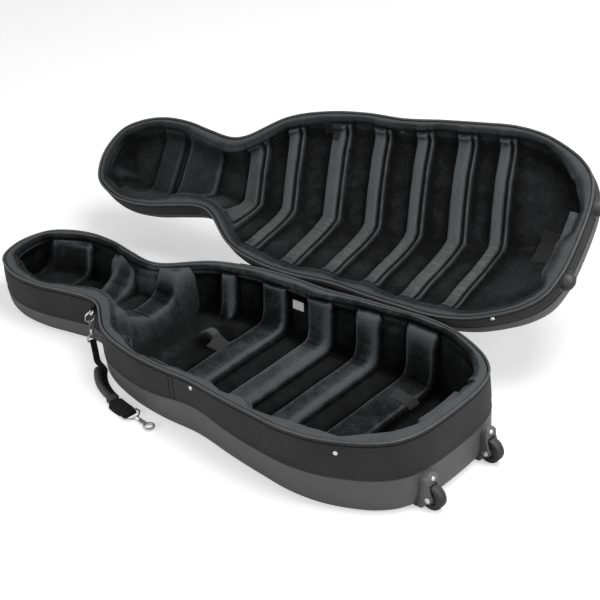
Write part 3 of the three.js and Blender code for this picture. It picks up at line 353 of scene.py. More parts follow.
class Build:
    """Collects points and faces, each face with its own map coordinates in metres and a finish number."""

    def __init__(self):
        self.points, self.faces, self.maps, self.kinds, self.count = [], [], [], [], 0

    def add(self, points):
        points = np.asarray(points, float)
        flat = points.reshape(-1, 3)
        self.points.append(flat)
        index = np.arange(self.count, self.count + len(flat)).reshape(points.shape[:-1])
        self.count += len(flat)
        return index

    def grid(self, rows, wrap_rows=False):
        """Quads between rings of points (rows, columns, 3)."""
        rows = np.asarray(rows, float)
        index = self.add(rows)
        self.weave(rows, index, wrap_rows)
        return index

    def weave(self, rows, index, wrap_rows=False, turned=False):
        across = np.linalg.norm(np.diff(rows, axis=1), axis=2)
        middle = across[len(rows) // 2]
        u = running(middle) * MM
        down = np.linalg.norm(np.diff(rows, axis=0), axis=2).mean(axis=1)
        v = running(down) * MM
        levels = index.shape[0] if wrap_rows else index.shape[0] - 1
        last_u = u[-1] + middle[-1] * MM
        last_v = v[-1] + down[-1] * MM
        for j in range(levels):
            k = (j + 1) % index.shape[0]
            v0, v1 = v[j], v[k] if k else last_v
            for i in range(index.shape[1]):
                n = (i + 1) % index.shape[1]
                u0, u1 = u[i], u[n] if n else last_u
                face = (index[j, i], index[j, n], index[k, n], index[k, i])
                spots = ((u0, v0), (u1, v0), (u1, v1), (u0, v1))
                self.face(face[::-1] if turned else face, spots[::-1] if turned else spots)

    def face(self, face, spots, kind=0):
        self.faces.append([int(i) for i in face])
        self.maps.append(spots)
        self.kinds.append(kind)

    def across(self, row, index, steps, turned=False, sag=None):
        """Closes a ring of mirrored points with strips from each far point to its near twin."""
        half = len(index) // 2
        t = np.linspace(0, 1, steps + 1)[1:-1]
        far, near = row[1:half], row[:half:-1]
        inner = far[:, None] + (near - far)[:, None] * t[None, :, None]
        if sag is not None:
            inner = sag(inner, t)
        middle = self.add(inner)
        columns = np.concatenate([index[1:half, None], middle, index[:half:-1, None]], axis=1)
        places = np.concatenate([far[:, None], inner, near[:, None]], axis=1) * MM
        for i in range(half - 2):
            for k in range(steps):
                corners = ((i, k), (i, k + 1), (i + 1, k + 1), (i + 1, k))
                corners = corners[::-1] if turned else corners
                self.face([columns[c] for c in corners], [tuple(places[c][:2]) for c in corners])
        for end, line, flip in ((index[0], 0, False), (index[half], half - 2, True)):
            for k in range(steps):
                pair = [(line, k + 1), (line, k)]
                pair = pair[::-1] if flip != turned else pair
                spots = [tuple(places[line, k][:2])] + [tuple(places[c][:2]) for c in pair]
                self.face([end] + [columns[c] for c in pair], spots)
        return columns

    def tube(self, rows):
        """Quads between rings of points, with both ends closed."""
        index = self.grid(rows)
        for end in (index[0][::-1], index[-1]):
            self.face(end, [(0, 0)] * len(end))

    def object(self, name, to_row, finishes, angle=35):
        """A mesh object in the row frame. Edges sharper than the angle, in degrees, stay sharp."""
        mesh = bpy.data.meshes.new(name)
        matrix = np.array(to_row)
        placed = np.vstack(self.points) @ matrix[:3, :3].T + matrix[:3, 3]
        mesh.from_pydata(placed.tolist(), [], self.faces)
        layer = mesh.uv_layers.new(name="weave")
        spots = np.array([c for face in self.maps for c in face], np.float32)
        layer.data.foreach_set("uv", spots.ravel())
        for finish in finishes:
            mesh.materials.append(finish)
        mesh.polygons.foreach_set("material_index", np.array(self.kinds, np.int32))
        mesh.update()
        mesh.validate()
        outwards(mesh)
        mesh.shade_smooth()
        mesh.set_sharp_from_angle(angle=math.radians(angle))
        return placed_object(name, mesh)


def placed_object(name, mesh, matrix=None):
    made = bpy.data.objects.new(name, mesh)
    bpy.context.scene.collection.objects.link(made)
    if matrix is not None:
        made.matrix_world = matrix.copy()
    return made


def outwards(mesh):
    """Makes all faces of a closed mesh look outwards."""
    work = bmesh.new()
    work.from_mesh(mesh)
    bmesh.ops.recalc_face_normals(work, faces=work.faces)
    if work.calc_volume(signed=True) < 0:
        bmesh.ops.reverse_faces(work, faces=work.faces)
    work.to_mesh(mesh)
    work.free()


# For the fine and the wide relief: rounds of smoothing, and the height in millimetres that counts as 1
RELIEF_SCALES = ((10, 1.8), (60, 8.0))


def mark_relief_shading(made, painted_shade_and_tone=None):
    """An attribute from -1 in the hollows to 1 on the crests, from how far each point stands out, plus any
    tones given: the plush paints shade and highlight by it.
    """
    mesh = made.data
    count = len(mesh.vertices)
    at, normals = np.empty((count, 3)), np.empty((count, 3))
    mesh.vertices.foreach_get("co", at.ravel())
    mesh.vertices.foreach_get("normal", normals.ravel())
    at = at / MM
    ends = np.empty(len(mesh.edges) * 2, np.int64)
    mesh.edges.foreach_get("vertices", ends)
    first, last = ends[0::2], ends[1::2]
    degree = np.maximum(np.bincount(ends, minlength=count), 1)[:, None]
    smoothed = at.copy()
    relief = np.zeros(count)
    done = 0
    for rounds, height in RELIEF_SCALES:
        while done < rounds:
            total = np.zeros_like(at)
            for axis in range(3):
                total[:, axis] = np.bincount(first, smoothed[last, axis], count)
                total[:, axis] += np.bincount(last, smoothed[first, axis], count)
            smoothed = (smoothed + total / degree) / 2
            done += 1
        relief += np.einsum("ij,ij->i", at - smoothed, normals) / height
    if painted_shade_and_tone is not None:
        relief += painted_shade_and_tone
    mark = mesh.attributes.new("relief", "FLOAT", "POINT")
    mark.data.foreach_set("value", np.clip(relief, -1, 1).astype(np.float32))


def settle(made, body, slot, node):
    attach(made, body)
    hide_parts(node)
    return made


# Materials
class Finish:
    """A node material with short helpers. Numbers in the calls are unit-free shader settings."""

    def __init__(self, name, colour, roughness, **sockets):
        self.material = bpy.data.materials.new(name)
        self.material.use_nodes = True
        self.tree = self.material.node_tree
        self.shader = self.tree.nodes["Principled BSDF"]
        self.shader.inputs["Base Color"].default_value = (*colour, 1)
        self.shader.inputs["Roughness"].default_value = roughness
        for key, value in sockets.items():
            self.shader.inputs[key.replace("_", " ").title().replace("Ior", "IOR")].default_value = value
        self.place = self.tree.nodes.new("ShaderNodeTexCoord").outputs["Object"]
        self.map = self.node("ShaderNodeUVMap", uv_map="weave").outputs["UV"]

    def node(self, kind, **settings):
        made = self.tree.nodes.new(kind)
        for key, value in settings.items():
            setattr(made, key, value)
        return made

    def link(self, source, target):
        self.tree.links.new(source, target)

    def noise(self, scale, detail=3, source=None, rough=0.5):
        made = self.node("ShaderNodeTexNoise")
        made.inputs["Scale"].default_value = scale
        made.inputs["Detail"].default_value = detail
        made.inputs["Roughness"].default_value = rough
        self.link(source or self.place, made.inputs["Vector"])
        return made.outputs["Fac"]

    def stretched(self, source, scales):
        made = self.node("ShaderNodeMapping")
        made.inputs["Scale"].default_value = scales
        self.link(source, made.inputs["Vector"])
        return made.outputs["Vector"]

    def math(self, operation, *values):
        made = self.node("ShaderNodeMath", operation=operation)
        for socket, value in zip(made.inputs, values):
            if isinstance(value, (int, float)):
                socket.default_value = value
            else:
                self.link(value, socket)
        return made.outputs[0]

    def plus(self, first, second):
        return self.math("ADD", first, second)

    def times(self, first, second):
        return self.math("MULTIPLY", first, second)

    def ramp(self, source, low, high, start=0, end=1):
        made = self.node("ShaderNodeMapRange")
        made.clamp = True
        self.link(source, made.inputs["Value"])
        for key, value in (("From Min", low), ("From Max", high), ("To Min", start), ("To Max", end)):
            made.inputs[key].default_value = value
        return made.outputs["Result"]

    def colours(self, factor, first, second):
        """A mix of two colours, of which the first may come from another node."""
        made = self.node("ShaderNodeMix", data_type="RGBA")
        self.link(factor, made.inputs["Factor"])
        if isinstance(first, tuple):
            made.inputs["A"].default_value = (*first, 1)
        else:
            self.link(first, made.inputs["A"])
        made.inputs["B"].default_value = (*second, 1)
        return made.outputs["Result"]

    def base(self, colour):
        self.link(colour, self.shader.inputs["Base Color"])

    def rough(self, value):
        self.link(value, self.shader.inputs["Roughness"])

    def bump(self, height, distance, strength=1.0, below=None):
        made = self.node("ShaderNodeBump")
        made.inputs["Strength"].default_value = strength
        made.inputs["Distance"].default_value = distance
        self.link(height, made.inputs["Height"])
        if below is not None:
            self.link(below, made.inputs["Normal"])
        self.link(made.outputs["Normal"], self.shader.inputs["Normal"])
        return made.outputs["Normal"]

    def waves(self, source, axis, per_metre):
        split = self.node("ShaderNodeSeparateXYZ")
        self.link(source, split.inputs["Vector"])
        return self.math("SINE", self.times(split.outputs[axis], per_metre * 2 * math.pi))

    def attribute(self, name):
        return self.node("ShaderNodeAttribute", attribute_name=name).outputs["Fac"]


def grey(value, warm=0.0):
    return (value * (1 + warm), value, value * (1 - warm))


def tub_finish():
    f = Finish("moulded_tub", grey(0.1), 0.42, specular_ior_level=0.45)
    f.base(f.colours(f.noise(9, 4), grey(0.085), grey(0.115)))
    f.rough(f.ramp(f.noise(60, 5), 0.3, 0.7, 0.38, 0.5))
    fine = f.bump(f.noise(1500, 2), 0.00012, 0.5)
    f.bump(f.noise(14, 2), 0.0012, 0.25, fine)
    return f.material


def cloth_finish(name, dark, light, threads, sheen=0.25):
    """Plain weave: threads over and under each other, from the map's own metres."""
    f = Finish(name, grey(dark), 0.85, sheen_weight=sheen, sheen_roughness=0.4, specular_ior_level=0.12)
    over = f.times(f.waves(f.map, "X", threads), f.waves(f.map, "Y", threads))
    worn = f.plus(f.times(f.noise(320, 4), 0.6), f.times(f.noise(12, 3), 0.5))
    mixed = f.plus(f.times(over, 0.22), worn)
    colour = f.colours(f.ramp(mixed, 0.2, 0.9), grey(dark), grey(light))
    height = f.plus(f.times(over, 0.5), f.times(f.noise(700, 2), 0.6))
    f.base(colour)
    f.bump(height, 0.00035, 0.7)
    return f.material


PLUSH_WARMTH = -0.045


def plush_colours(f, deep, middle, high):
    """Pile painted darker in the hollows as shade and paler on the crests as a highlight, by the relief
    shading attribute, with tufts that vary its tone at random.
    """
    fibres = f.noise(1300, 3, rough=0.7)
    brushed = f.noise(38, 4, rough=0.6)
    wide = f.noise(11, 3)
    tufts = f.noise(230, 3, rough=0.65)
    mixed = f.plus(f.plus(f.times(tufts, 1.1), f.times(brushed, 0.7)), f.times(wide, 0.6))
    lift = f.times(f.math("SUBTRACT", mixed, 1.2), 1.25)
    # Painted shade where the relief shading is low and a painted highlight where it is high
    height = f.plus(f.attribute("relief"), lift)
    lower = f.colours(f.ramp(height, -1.0, 0.0), grey(deep, PLUSH_WARMTH), grey(middle, PLUSH_WARMTH))
    return fibres, brushed, f.colours(f.ramp(height, 0.0, 1.0), lower, grey(high, PLUSH_WARMTH))


def plush_finish(name, deep, middle, high):
    f = Finish(name, grey(middle), 0.95, sheen_weight=0.08, sheen_roughness=0.4, specular_ior_level=0.0)
    fibres, brushed, colour = plush_colours(f, deep, middle, high)
    f.base(colour)
    fine = f.bump(fibres, 0.0012, 0.55)
    f.bump(brushed, 0.004, 0.35, fine)
    return f.material


def lid_plush_finish():
    """The lid's lining: the same plush, with glossier creased faces on its ribs, painted paler as a highlight
    most of all on the hinge-side slope.
    """
    f = Finish("lid_plush", grey(0.016), 0.9, sheen_weight=0.05, sheen_roughness=0.4, specular_ior_level=0.06)
    crest = f.ramp(f.attribute("crest"), 0.72, 0.97)
    slope = f.attribute("bend")
    fibres, _, plush = plush_colours(f, 0.004, 0.032, 0.085)
    creases = f.noise(1, 2, f.stretched(f.map, (16, 210, 1)), rough=0.6)
    lines = f.ramp(f.math("ABSOLUTE", f.math("SUBTRACT", creases, 0.5)), 0.0, 0.09)
    # Painted highlight on the rib faces, strongest on the hinge-side slope, where they are also glossier
    pressed_gloss_and_highlight = f.times(crest, f.ramp(slope, 0, 1, 0.2, 1))
    f.base(f.colours(f.times(pressed_gloss_and_highlight, f.ramp(lines, 0, 1, 0.55, 1)), plush, grey(0.1, -0.01)))
    f.rough(f.ramp(pressed_gloss_and_highlight, 0, 1, 0.92, 0.4))
    fine = f.bump(f.times(fibres, f.ramp(crest, 0, 1, 1, 0.15)), 0.0012, 0.5)
    deep = f.plus(f.times(f.times(slope, crest), 0.9), f.times(crest, 0.12))
    f.bump(f.times(lines, deep), 0.0022, 0.8, fine)
    return f.material


def plain_finish(name, dark, light, low, high, grain, depth, **sockets):
    """Moulded or rubbery surfaces: a grained bump, two close tones and uneven gloss."""
    f = Finish(name, grey(dark), (low + high) / 2, **sockets)
    f.base(f.colours(f.ramp(f.noise(grain / 12, 4), 0.3, 0.7), grey(dark), grey(light)))
    f.rough(f.ramp(f.noise(grain / 5, 3), 0.3, 0.7, low, high))
    f.bump(f.noise(grain, 2), depth, 0.5)
    return f.material


def metal_finish(name, tone):
    f = Finish(name, grey(tone), 0.16, metallic=1.0)
    f.base(f.colours(f.ramp(f.noise(260, 4), 0.35, 0.7), grey(tone), grey(tone * 0.8)))
    f.rough(f.ramp(f.noise(420, 4), 0.3, 0.75, 0.1, 0.24))
    f.bump(f.noise(1, 2, f.stretched(f.place, (900, 900, 120))), 0.00006, 0.4)
    return f.material


def webbing_finish():
    f = Finish(
        "strap_webbing", grey(0.012), 0.8, sheen_weight=0.05, sheen_roughness=0.4, specular_ior_level=0.1)
    ribs = f.waves(f.map, "X", 620)
    picks = f.waves(f.map, "Y", 900)
    both = f.times(ribs, picks)
    f.base(f.colours(f.ramp(f.plus(both, f.noise(500, 3)), -0.6, 1.5), grey(0.005), grey(0.024)))
    f.bump(f.plus(f.times(ribs, 0.5), f.times(both, 0.4)), 0.0004, 0.8)
    return f.material


def loops_finish(name, dark, light):
    f = Finish(name, grey(dark), 0.95, sheen_weight=0.12, sheen_roughness=0.4, specular_ior_level=0.0)
    loops = f.noise(900, 4, rough=0.8)
    f.base(f.colours(f.ramp(loops, 0.35, 0.65), grey(dark), grey(light)))
    f.bump(loops, 0.0015, 0.8)
    return f.material


TUB = tub_finish()
BAND = cloth_finish("band_cloth", 0.024, 0.06, 700, sheen=0.1)
SEAM = cloth_finish("seam_thread", 0.003, 0.009, 1400, sheen=0.0)
SPINE = cloth_finish("spine_cloth", 0.014, 0.03, 700, sheen=0.1)
TAPE = cloth_finish("zip_tape", 0.006, 0.014, 900, sheen=0.05)
# Plush tones: painted shade in the hollows, the pile's own tone, and a painted highlight on the crests
PLUSH = plush_finish("base_plush", 0.002, 0.016, 0.1)
LID_PLUSH = lid_plush_finish()
PAD_PLUSH = plush_finish("pad_plush", 0.004, 0.026, 0.095)
PIPING = plain_finish("piping_vinyl", 0.05, 0.075, 0.36, 0.48, 900, 0.0001)
TEETH = plain_finish("zip_teeth", 0.06, 0.09, 0.4, 0.55, 800, 0.00008)
MOULDED = plain_finish("moulded_bracket", 0.1, 0.14, 0.36, 0.5, 1200, 0.00015)
DARK_MOULDED = plain_finish("dark_moulding", 0.03, 0.045, 0.4, 0.55, 1200, 0.00015)
TYRE = plain_finish("tyre_rubber", 0.016, 0.026, 0.45, 0.62, 700, 0.0002)
BUMPER = plain_finish("bumper_rubber", 0.02, 0.032, 0.4, 0.55, 900, 0.0002)
METAL = metal_finish("bright_metal", 0.9)
WEBBING = webbing_finish()
GRIP = plain_finish("grip_vinyl", 0.022, 0.04, 0.4, 0.55, 420, 0.0005)
KEEPER = plain_finish("keeper_leather", 0.02, 0.035, 0.42, 0.58, 700, 0.0003)
HOOKS = loops_finish("hook_and_loop", 0.03, 0.065)
POCKET = loops_finish("pocket_loops", 0.014, 0.036)
LABEL = cloth_finish("label_cloth", 0.95, 1.0, 1500, sheen=0.1)


# Shell, band, zip and piping, swept round the outline
TUB_COUNT = 360
TUB_STRIPS = 16


def make_shell(half):
    rim = well_rim(TUB_COUNT) if half is BASE else even_rim(TUB_COUNT)
    build = Build()
    outer, inner = [], []
    for inset_share, drop_share in catmull_rom(CROWN_SHARES[half.name], False, CROWN_STEPS):
        inset = half.crown(rim.x) * inset_share
        outer.append(rim.ring(inset, half.tub_level(drop_share)))
        inner.append(rim.ring(inset + SHELL_WALL, half.tub_level(drop_share, SHELL_WALL)))
    if half is BASE:
        outer = [dented(row, 0) for row in outer]
        inner = [dented(row, WELL_SKIN) for row in inner]
    rows = np.array(outer[::-1] + inner)
    index = build.grid(rows)
    build.across(rows[0], index[0], TUB_STRIPS)
    build.across(rows[-1], index[-1], TUB_STRIPS, turned=True)
    made = build.object(f"{half.name}_tub", half.to_row, [TUB])
    return settle(made, half.name, "tub", f"{half.name}_shell")


def hoop(name, half, rim, section, finishes, angle=35):
    """A closed section of (inset, level) pairs, swept all round. A level may be a function of x."""
    rows = []
    for inset, level in section:
        height = (lambda x, v=level: half.side * v(x)) if callable(level) else half.side * level
        rows.append(rim.ring(inset, height))
    build = Build()
    build.grid(np.array(rows), wrap_rows=True)
    return build.object(name, half.to_row, finishes, angle)


SEAM_SHARES = (0.5475, 0.5565)
SEAM_XS = [station(share) for share in SEAM_SHARES]
SEAM_REACH = 1.1
SEAM_DEPTH = 0.7
SEAM_CLUSTER_SHARES = (-2, -1, -0.4, 0.4, 1, 2)
BAND_COUNT = 420
BAND_SWELL = 0.9
BAND_FOLD = 0.9
BAND_GAP = 0.3
BAND_FACE_SHARES = [
    # share of the way down, share of the swell. None is a folded edge
    (0.0, None), (0.012, 0.1), (0.04, 0), (0.12, 0.35), (0.3, 0.8), (0.5, 1), (0.7, 0.9), (0.88, None),
    (0.95, 0.65), (0.985, 0.5), (1.0, -0.6),
]


def seam_rim(count):
    """Even places with a close cluster at each upright seam of the near wall."""
    s = list(np.arange(count) / count)
    for x in SEAM_XS:
        s += [share_at(x, -1) + k * SEAM_REACH / perimeter for k in SEAM_CLUSTER_SHARES]
    return Rim(sorted(s))


def make_band(half):
    rim = seam_rim(BAND_COUNT)
    groove = np.zeros(len(rim.s))
    if half is BASE:
        for x in SEAM_XS:
            away = np.abs(rim.s - share_at(x, -1)) * perimeter
            groove = np.maximum(groove, 1 - smooth(away, 0, SEAM_REACH))

    def out(share):
        return BAND_FOLD if share is None else SEAM_DEPTH * groove - BAND_SWELL * share

    def down(share):
        return lambda x: BAND_TOP + (half.band(x) - BAND_GAP - BAND_TOP) * share

    section = [(out(swell), down(drop)) for drop, swell in BAND_FACE_SHARES]
    section += [(BAND_WALL, down(1.0)), (BAND_WALL, down(0.0))]
    made = hoop(f"{half.name}_band", half, rim, section, [BAND, SEAM])
    for k, face in enumerate(made.data.polygons):
        face.material_index = int(groove[k % len(groove)] > 0.5)
    return settle(made, half.name, "band_fabric", f"{half.name}_side_band")


PIPING_COUNT = 480
PIPING_SECTION = [
    (3.9, 4.3), (3.95, 1.2), (3.5, 0.55), (3.0, 0.45), (2.55, 0.75), (2.35, 1.5), (2.1, 1.6), (1.8, 0.8),
    (0.9, 0.4), (-0.1, 0.55), (-0.85, 1.25), (-1.15, 2.3), (-0.85, 3.35), (-0.1, 4.05), (0.9, 4.35),
]


def make_piping(half):
    rim = even_rim(PIPING_COUNT)
    made = hoop(f"{half.name}_rim_piping", half, rim, PIPING_SECTION, [PIPING], 50)
    return settle(made, half.name, "piping", f"{half.name}_piping")


ZIP_COUNT = 420
ZIP_PITCH = 4.0
ZIP_TAPE = [
    (5.0, 4.75), (1.5, 4.75), (0.9, 5.1), (0.85, 9.2), (0.6, 9.6), (0.6, 10.2), (0.95, 10.6), (0.95, 12.1),
    (5.0, 12.2),
]
TOOTH_HALF = 0.95
TOOTH_ROWS = [
    # inset, level, share of the tooth's width
    (0.8, 5.15, 1), (0.0, 5.3, 0.8), (0.0, 8.7, 0.8), (0.8, 8.9, 1),
]


def add_tooth(build, half, at, inwards):
    """One moulded tooth: a block that narrows outwards, standing on the tape."""
    rows = []
    for inset, level, share in TOOTH_ROWS:
        line = []
        for wide in (-TOOTH_HALF, TOOTH_HALF):
            x = at[0] + inwards[0] * inset - inwards[1] * wide * share
            y = at[1] + inwards[1] * inset + inwards[0] * wide * share
            line.append((x, y, half.side * level))
        rows.append(line)
    index = build.add(np.array(rows))
    quads = [(index[k, 0], index[k, 1], index[k + 1, 1], index[k + 1, 0]) for k in range(3)]
    quads.append((index[3, 0], index[3, 1], index[0, 1], index[0, 0]))
    quads += [tuple(index[:, 0][::-1]), tuple(index[:, 1])]
    for quad in quads:
        turned = quad if half.side < 0 else quad[::-1]
        build.face(turned, [(0, 0), (MM, 0), (MM, MM), (0, MM)], 1)


def make_zip(half):
    """The tape, with a ridge along it, and one row of moulded teeth standing on it."""
    rim = even_rim(ZIP_COUNT)
    build = Build()
    rows = np.array([rim.ring(inset, half.side * level) for inset, level in ZIP_TAPE])
    build.grid(rows, wrap_rows=True)
    count = int(perimeter / ZIP_PITCH)
    teeth = Rim((np.arange(count) + 0.5) / count)
    for x, y, nx, ny in zip(teeth.x, teeth.y, teeth.nx, teeth.ny):
        add_tooth(build, half, (x, y), (nx, ny))
    made = build.object(f"{half.name}_zip", half.to_row, [TAPE, TEETH])
    return settle(made, half.name, "zip", f"{half.name}_zip_chain")


# Linings
LIP_EDGES = {
    # arc share of the rim, width of the foam lip there
    "base": [
        (0.0, 34), (0.018, 26), (0.032, 30), (0.047, 29), (0.071, 22), (0.095, 17), (0.12, 22), (0.134, 20),
        (0.15, 24), (0.19, 30), (0.207, 29), (0.231, 33), (0.258, 35), (0.275, 34), (0.292, 30), (0.311, 22),
        (0.338, 20), (0.357, 19), (0.384, 20), (0.402, 21), (0.43, 28), (0.446, 34), (0.459, 37),
        (0.4635, 40), (0.4655, 30), (0.475, 36), (0.492, 35), (0.505, 33), (0.514, 29), (0.528, 34),
        (0.545, 42), (0.558, 44), (0.575, 38), (0.589, 25), (0.606, 35), (0.622, 35), (0.645, 26),
        (0.662, 19), (0.6775, 31), (0.694, 23), (0.708, 28), (0.721, 24), (0.737, 27), (0.75, 19),
        (0.774, 18), (0.7995, 33), (0.8144, 35), (0.83, 38), (0.862, 44), (0.8756, 46), (0.893, 36),
        (0.9035, 29), (0.917, 26), (0.934, 33), (0.96, 38), (1.0, 34),
    ],
    "lid": [
        (0.0, 30), (0.03, 26), (0.07, 22), (0.1, 30), (0.115, 38), (0.135, 30), (0.16, 34), (0.19, 24),
        (0.215, 30), (0.24, 22), (0.26, 31), (0.285, 22), (0.31, 32), (0.335, 22), (0.36, 30), (0.4, 22),
        (0.44, 26), (0.456, 30), (0.466, 48), (0.494, 50), (0.504, 27), (0.522, 25), (0.54, 40),
        (0.56, 45), (0.58, 33), (0.6, 24), (0.65, 28), (0.69, 24), (0.72, 28), (0.76, 24), (0.79, 30),
        (0.83, 30), (0.86, 36), (0.885, 38), (0.91, 28), (0.94, 24), (1.0, 30),
    ],
}
HOLLOW_SHARES = {
    "far": [[0, 0], [0.05, 0.2], [0.14, 0.45], [0.22, 0.66], [0.36, 0.85], [0.62, 0.965], [1, 1]],
    "sweep": [[0, 0], [0.04, 0.3], [0.1, 0.62], [0.2, 0.87], [0.36, 0.97], [0.65, 1], [1, 1]],
    "slope": [[0, 0], [0.03, 0.14], [0.1, 0.23], [0.33, 0.44], [0.62, 0.72], [0.86, 0.93], [1, 1]],
}
BEND_LINE = [
    # station in millimetres, how far towards the hinge the lid's hollow bends
    (-665, 36), (-470, 46), (-400, 34), (-316, 22), (-250, 32), (-136, 40), (-21, 35), (105, 42),
    (230, 44), (335, 34), (438, 13), (520, -8), (600, -24),
]
RIB_SLANT = [
    # place across, how far the lid's ribs lean towards the bottom end there
    (-230, -30), (-130, -17), (-50, 0), (30, 20), (100, 14), (170, 4), (230, 0),
]
SWEEP_DRAW = 128
SWEEP_LEAST_SHARE = 0.28
END_DRAW = 78
END_REACH = 590
END_EASE = 150
# Stations between which the lean of the lid's ribs grows, and fades again
LEAN_START = (-350, -170)
LEAN_END = (470, 610)
HINGE_SIDE_SHARES = (-0.35, 0.5)
LINING_COUNT = 760
LINING_STRIPS = 44
BACK_STRIPS = 8
LINING_GAP = 1.8
WALL_GAP = 0.3
LIP_ROUND = 8
LIP_TURNS = 6
LIP_CROWN = 1.1
LIP_START = -1.5
LIP_STEP = 0.4
LIP_WAVE = 0.8
LIP_WAVE_RATE = 190
LIP_CROWN_SHARE = 1.02
LIP_CREST_SHARE = 0.4
LIP_RIB = {-1: 3.0, 1: 1.8}
LIP_SHARES = (0.0, 0.04, 0.14, 0.35, 0.6, 0.8, 0.93)
RECESS_TOP = (13, 25)
RECESS_SHARE = 0.5
LIP_FADE = 45
WALL_FADE_SHARE = 0.35
CREST_TOP = (6, 22)
# Depths over which the painted shade between the ribs sets in
HOLLOW_DEEP = (12, 30)
WALL_RIPPLE = 0.7
FLOOR_RIPPLE = 0.6
WALL_RIPPLE_GROWTH = 6
FLOOR_RIPPLE_GROWTH = 3
HOLLOW_STEPS = {-1: 5, 1: 6}
FLOOR_RIB_SHARES = (0.7, 1)
BEND_SHARES = (0.1, 0.3)
RIB_EDGE = {-1: 15, 1: 10}
RIB_EDGE_SHARE = 0.6
RIB_DOME_SHARE = 0.14
CREST_EDGE = (-3, 1)
TERRACE = 13
TERRACE_RISE = (-4, 2)
TERRACE_FALL = (-2, 5)
TERRACE_SHARE = 0.5
RIDGE_SHARE = 0.36
RIDGE_HALF = 3.2
RIDGE_BACK = 3
SHINY_FROM = -290
SHINY_EDGE = 10
MOUND = (-92, 62)
MOUND_SPREAD = (24, 20)
MOUND_RISE = 24
LIP_TONE = -0.9
# A painted highlight on the base's lip, along part of its near side
LIP_HIGHLIGHT = 1.0
HIGHLIGHT_ALONG = (-60, 260)
HIGHLIGHT_ACROSS = (-90, 20)
# Painted shade between the ribs, for the base (-1) and the lid (1)
HOLLOW_SHADE = {-1: 0.28, 1: 0.55}
FAR_FALL = 0.66
BEND_ROUND = 14
DENSE_WEIGHT = 2.2
DENSE_SPREAD = 9


def rib_lean(x, y):
    """How far the lid's ribs lean towards the bottom end at a place."""
    fades = smooth(x, *LEAN_START) * (1 - smooth(x, *LEAN_END))
    return np.interp(y, *zip(*RIB_SLANT)) * fades


def leaning_rim(rim):
    """The same places, moved along the rim so that the columns follow the leaning ribs."""
    half = len(rim.s) // 2
    s = np.interp(rim.x + rib_lean(rim.x, rim.y), FINE_RIM.x, FINE_SHARES)
    s[half + 1:] = 1 - s[half + 1:]
    return Rim(s)


def bend_at(x, width):
    """How far towards the hinge the lid's hollow bends at a station."""
    return np.minimum(np.interp(x, *zip(*BEND_LINE)), width - END_DRAW)


def hollow_edge(half, rim):
    """Where each column of the hollow meets its floor, and how far it belongs to the hinge side."""
    if half.side < 0:
        edge = rim.ring(HOLLOW_LIP + HOLLOW_DRAW, 0)
        return edge[:, :2], np.zeros_like(rim.x)
    upright = rim.x - rib_lean(rim.x, rim.y)
    limit = END_REACH - END_EASE
    over = np.clip(np.abs(upright) - limit, 0, None)
    x = np.where(over > 0, np.sign(upright) * (limit + END_EASE * np.tanh(over / END_EASE)), upright)
    width = half_width(x)
    share = np.clip(rim.y / width, -1, 1)
    top = bend_at(x, width)
    low = -np.maximum(width - SWEEP_DRAW, width * SWEEP_LEAST_SHARE)
    y = low + (top - low) * (share + 1) / 2
    return np.stack([x + rib_lean(x, y), y], axis=-1), smooth(share, *HINGE_SIDE_SHARES)


def sweep_share(half, x, y):
    """The share of its depth that the lid's hollow has: all at the bend, less towards the far lip."""
    if half.side < 0:
        return np.ones_like(x)
    width = half_width(x)
    bend = bend_at(x, width)
    away = np.clip(bend - y, 0, None)
    eased = np.sqrt(away ** 2 + BEND_ROUND ** 2) - BEND_ROUND
    return 1 - FAR_FALL * eased / (bend + width)


def rib_profile(half, x, y, on_floor=False):
    """How much of the full rise a lining has at a place, and how close that is to a rib's crest."""
    if half.side > 0:
        x = x - rib_lean(x, y)
    rise = np.zeros_like(x)
    crest = np.zeros_like(x)
    edge = RIB_EDGE[half.side]
    for at, width, wall_tall, floor_tall in half.ribs:
        tall = floor_tall if on_floor else wall_tall
        reach = RIB_WIDTH * width / 2
        away = np.abs(x - station(at))
        inner = reach - edge * RIB_EDGE_SHARE
        main = tall * (1 - smooth(away, inner, inner + edge))
        dome = 1 - RIB_DOME_SHARE + RIB_DOME_SHARE * np.clip(1 - (away / reach) ** 2, 0, 1)
        rise = np.maximum(rise, main * dome)
        crest = np.maximum(crest, 1 - smooth(away - reach, *CREST_EDGE))
        if half.side > 0 and station(at) > SHINY_FROM:
            past = x - station(at) - reach
            step = smooth(past, *TERRACE_RISE) * (1 - smooth(past - TERRACE, *TERRACE_FALL))
            ridge = np.exp(-(((past - TERRACE + RIDGE_BACK) / RIDGE_HALF) ** 2))
            rise = np.maximum(rise, TERRACE_SHARE * step + RIDGE_SHARE * ridge)
            crest = np.maximum(crest, ridge)
    if half.side > 0:
        crest = crest * smooth(x, SHINY_FROM - SHINY_EDGE, SHINY_FROM + SHINY_EDGE)
    return rise, crest


def ripple(x, y, z):
    """A soft unevenness of hand-laid foam, always the same. Its waves are in millimetres."""
    wide = np.sin(x / 37 + 1.3) * np.sin(y / 29 + 0.7)
    wide = wide + 0.6 * np.sin(x / 17 + z / 23 + 2.1) * np.cos(y / 21 + 0.4)
    return wide + 0.12 * np.sin(x / 9.1 + y / 7.7 + z / 8.3)


def mound(x, y):
    """The soft mound beside the front patch: 1 at its top and 0 away from it."""
    aside = ((x - MOUND[0]) / MOUND_SPREAD[0]) ** 2 + ((y - MOUND[1]) / MOUND_SPREAD[1]) ** 2
    return np.exp(-aside)


def rib_density(half):
    def density(x):
        weight = np.full_like(x, 1.0)
        for at, width, _, _ in half.ribs:
            reach = RIB_WIDTH * width / 2
            edges = [-reach, reach] + ([reach + TERRACE] if half.side > 0 else [])
            for edge in edges:
                weight += DENSE_WEIGHT * np.exp(-(((x - station(at) - edge) / DENSE_SPREAD) ** 2))
        return weight
    return density


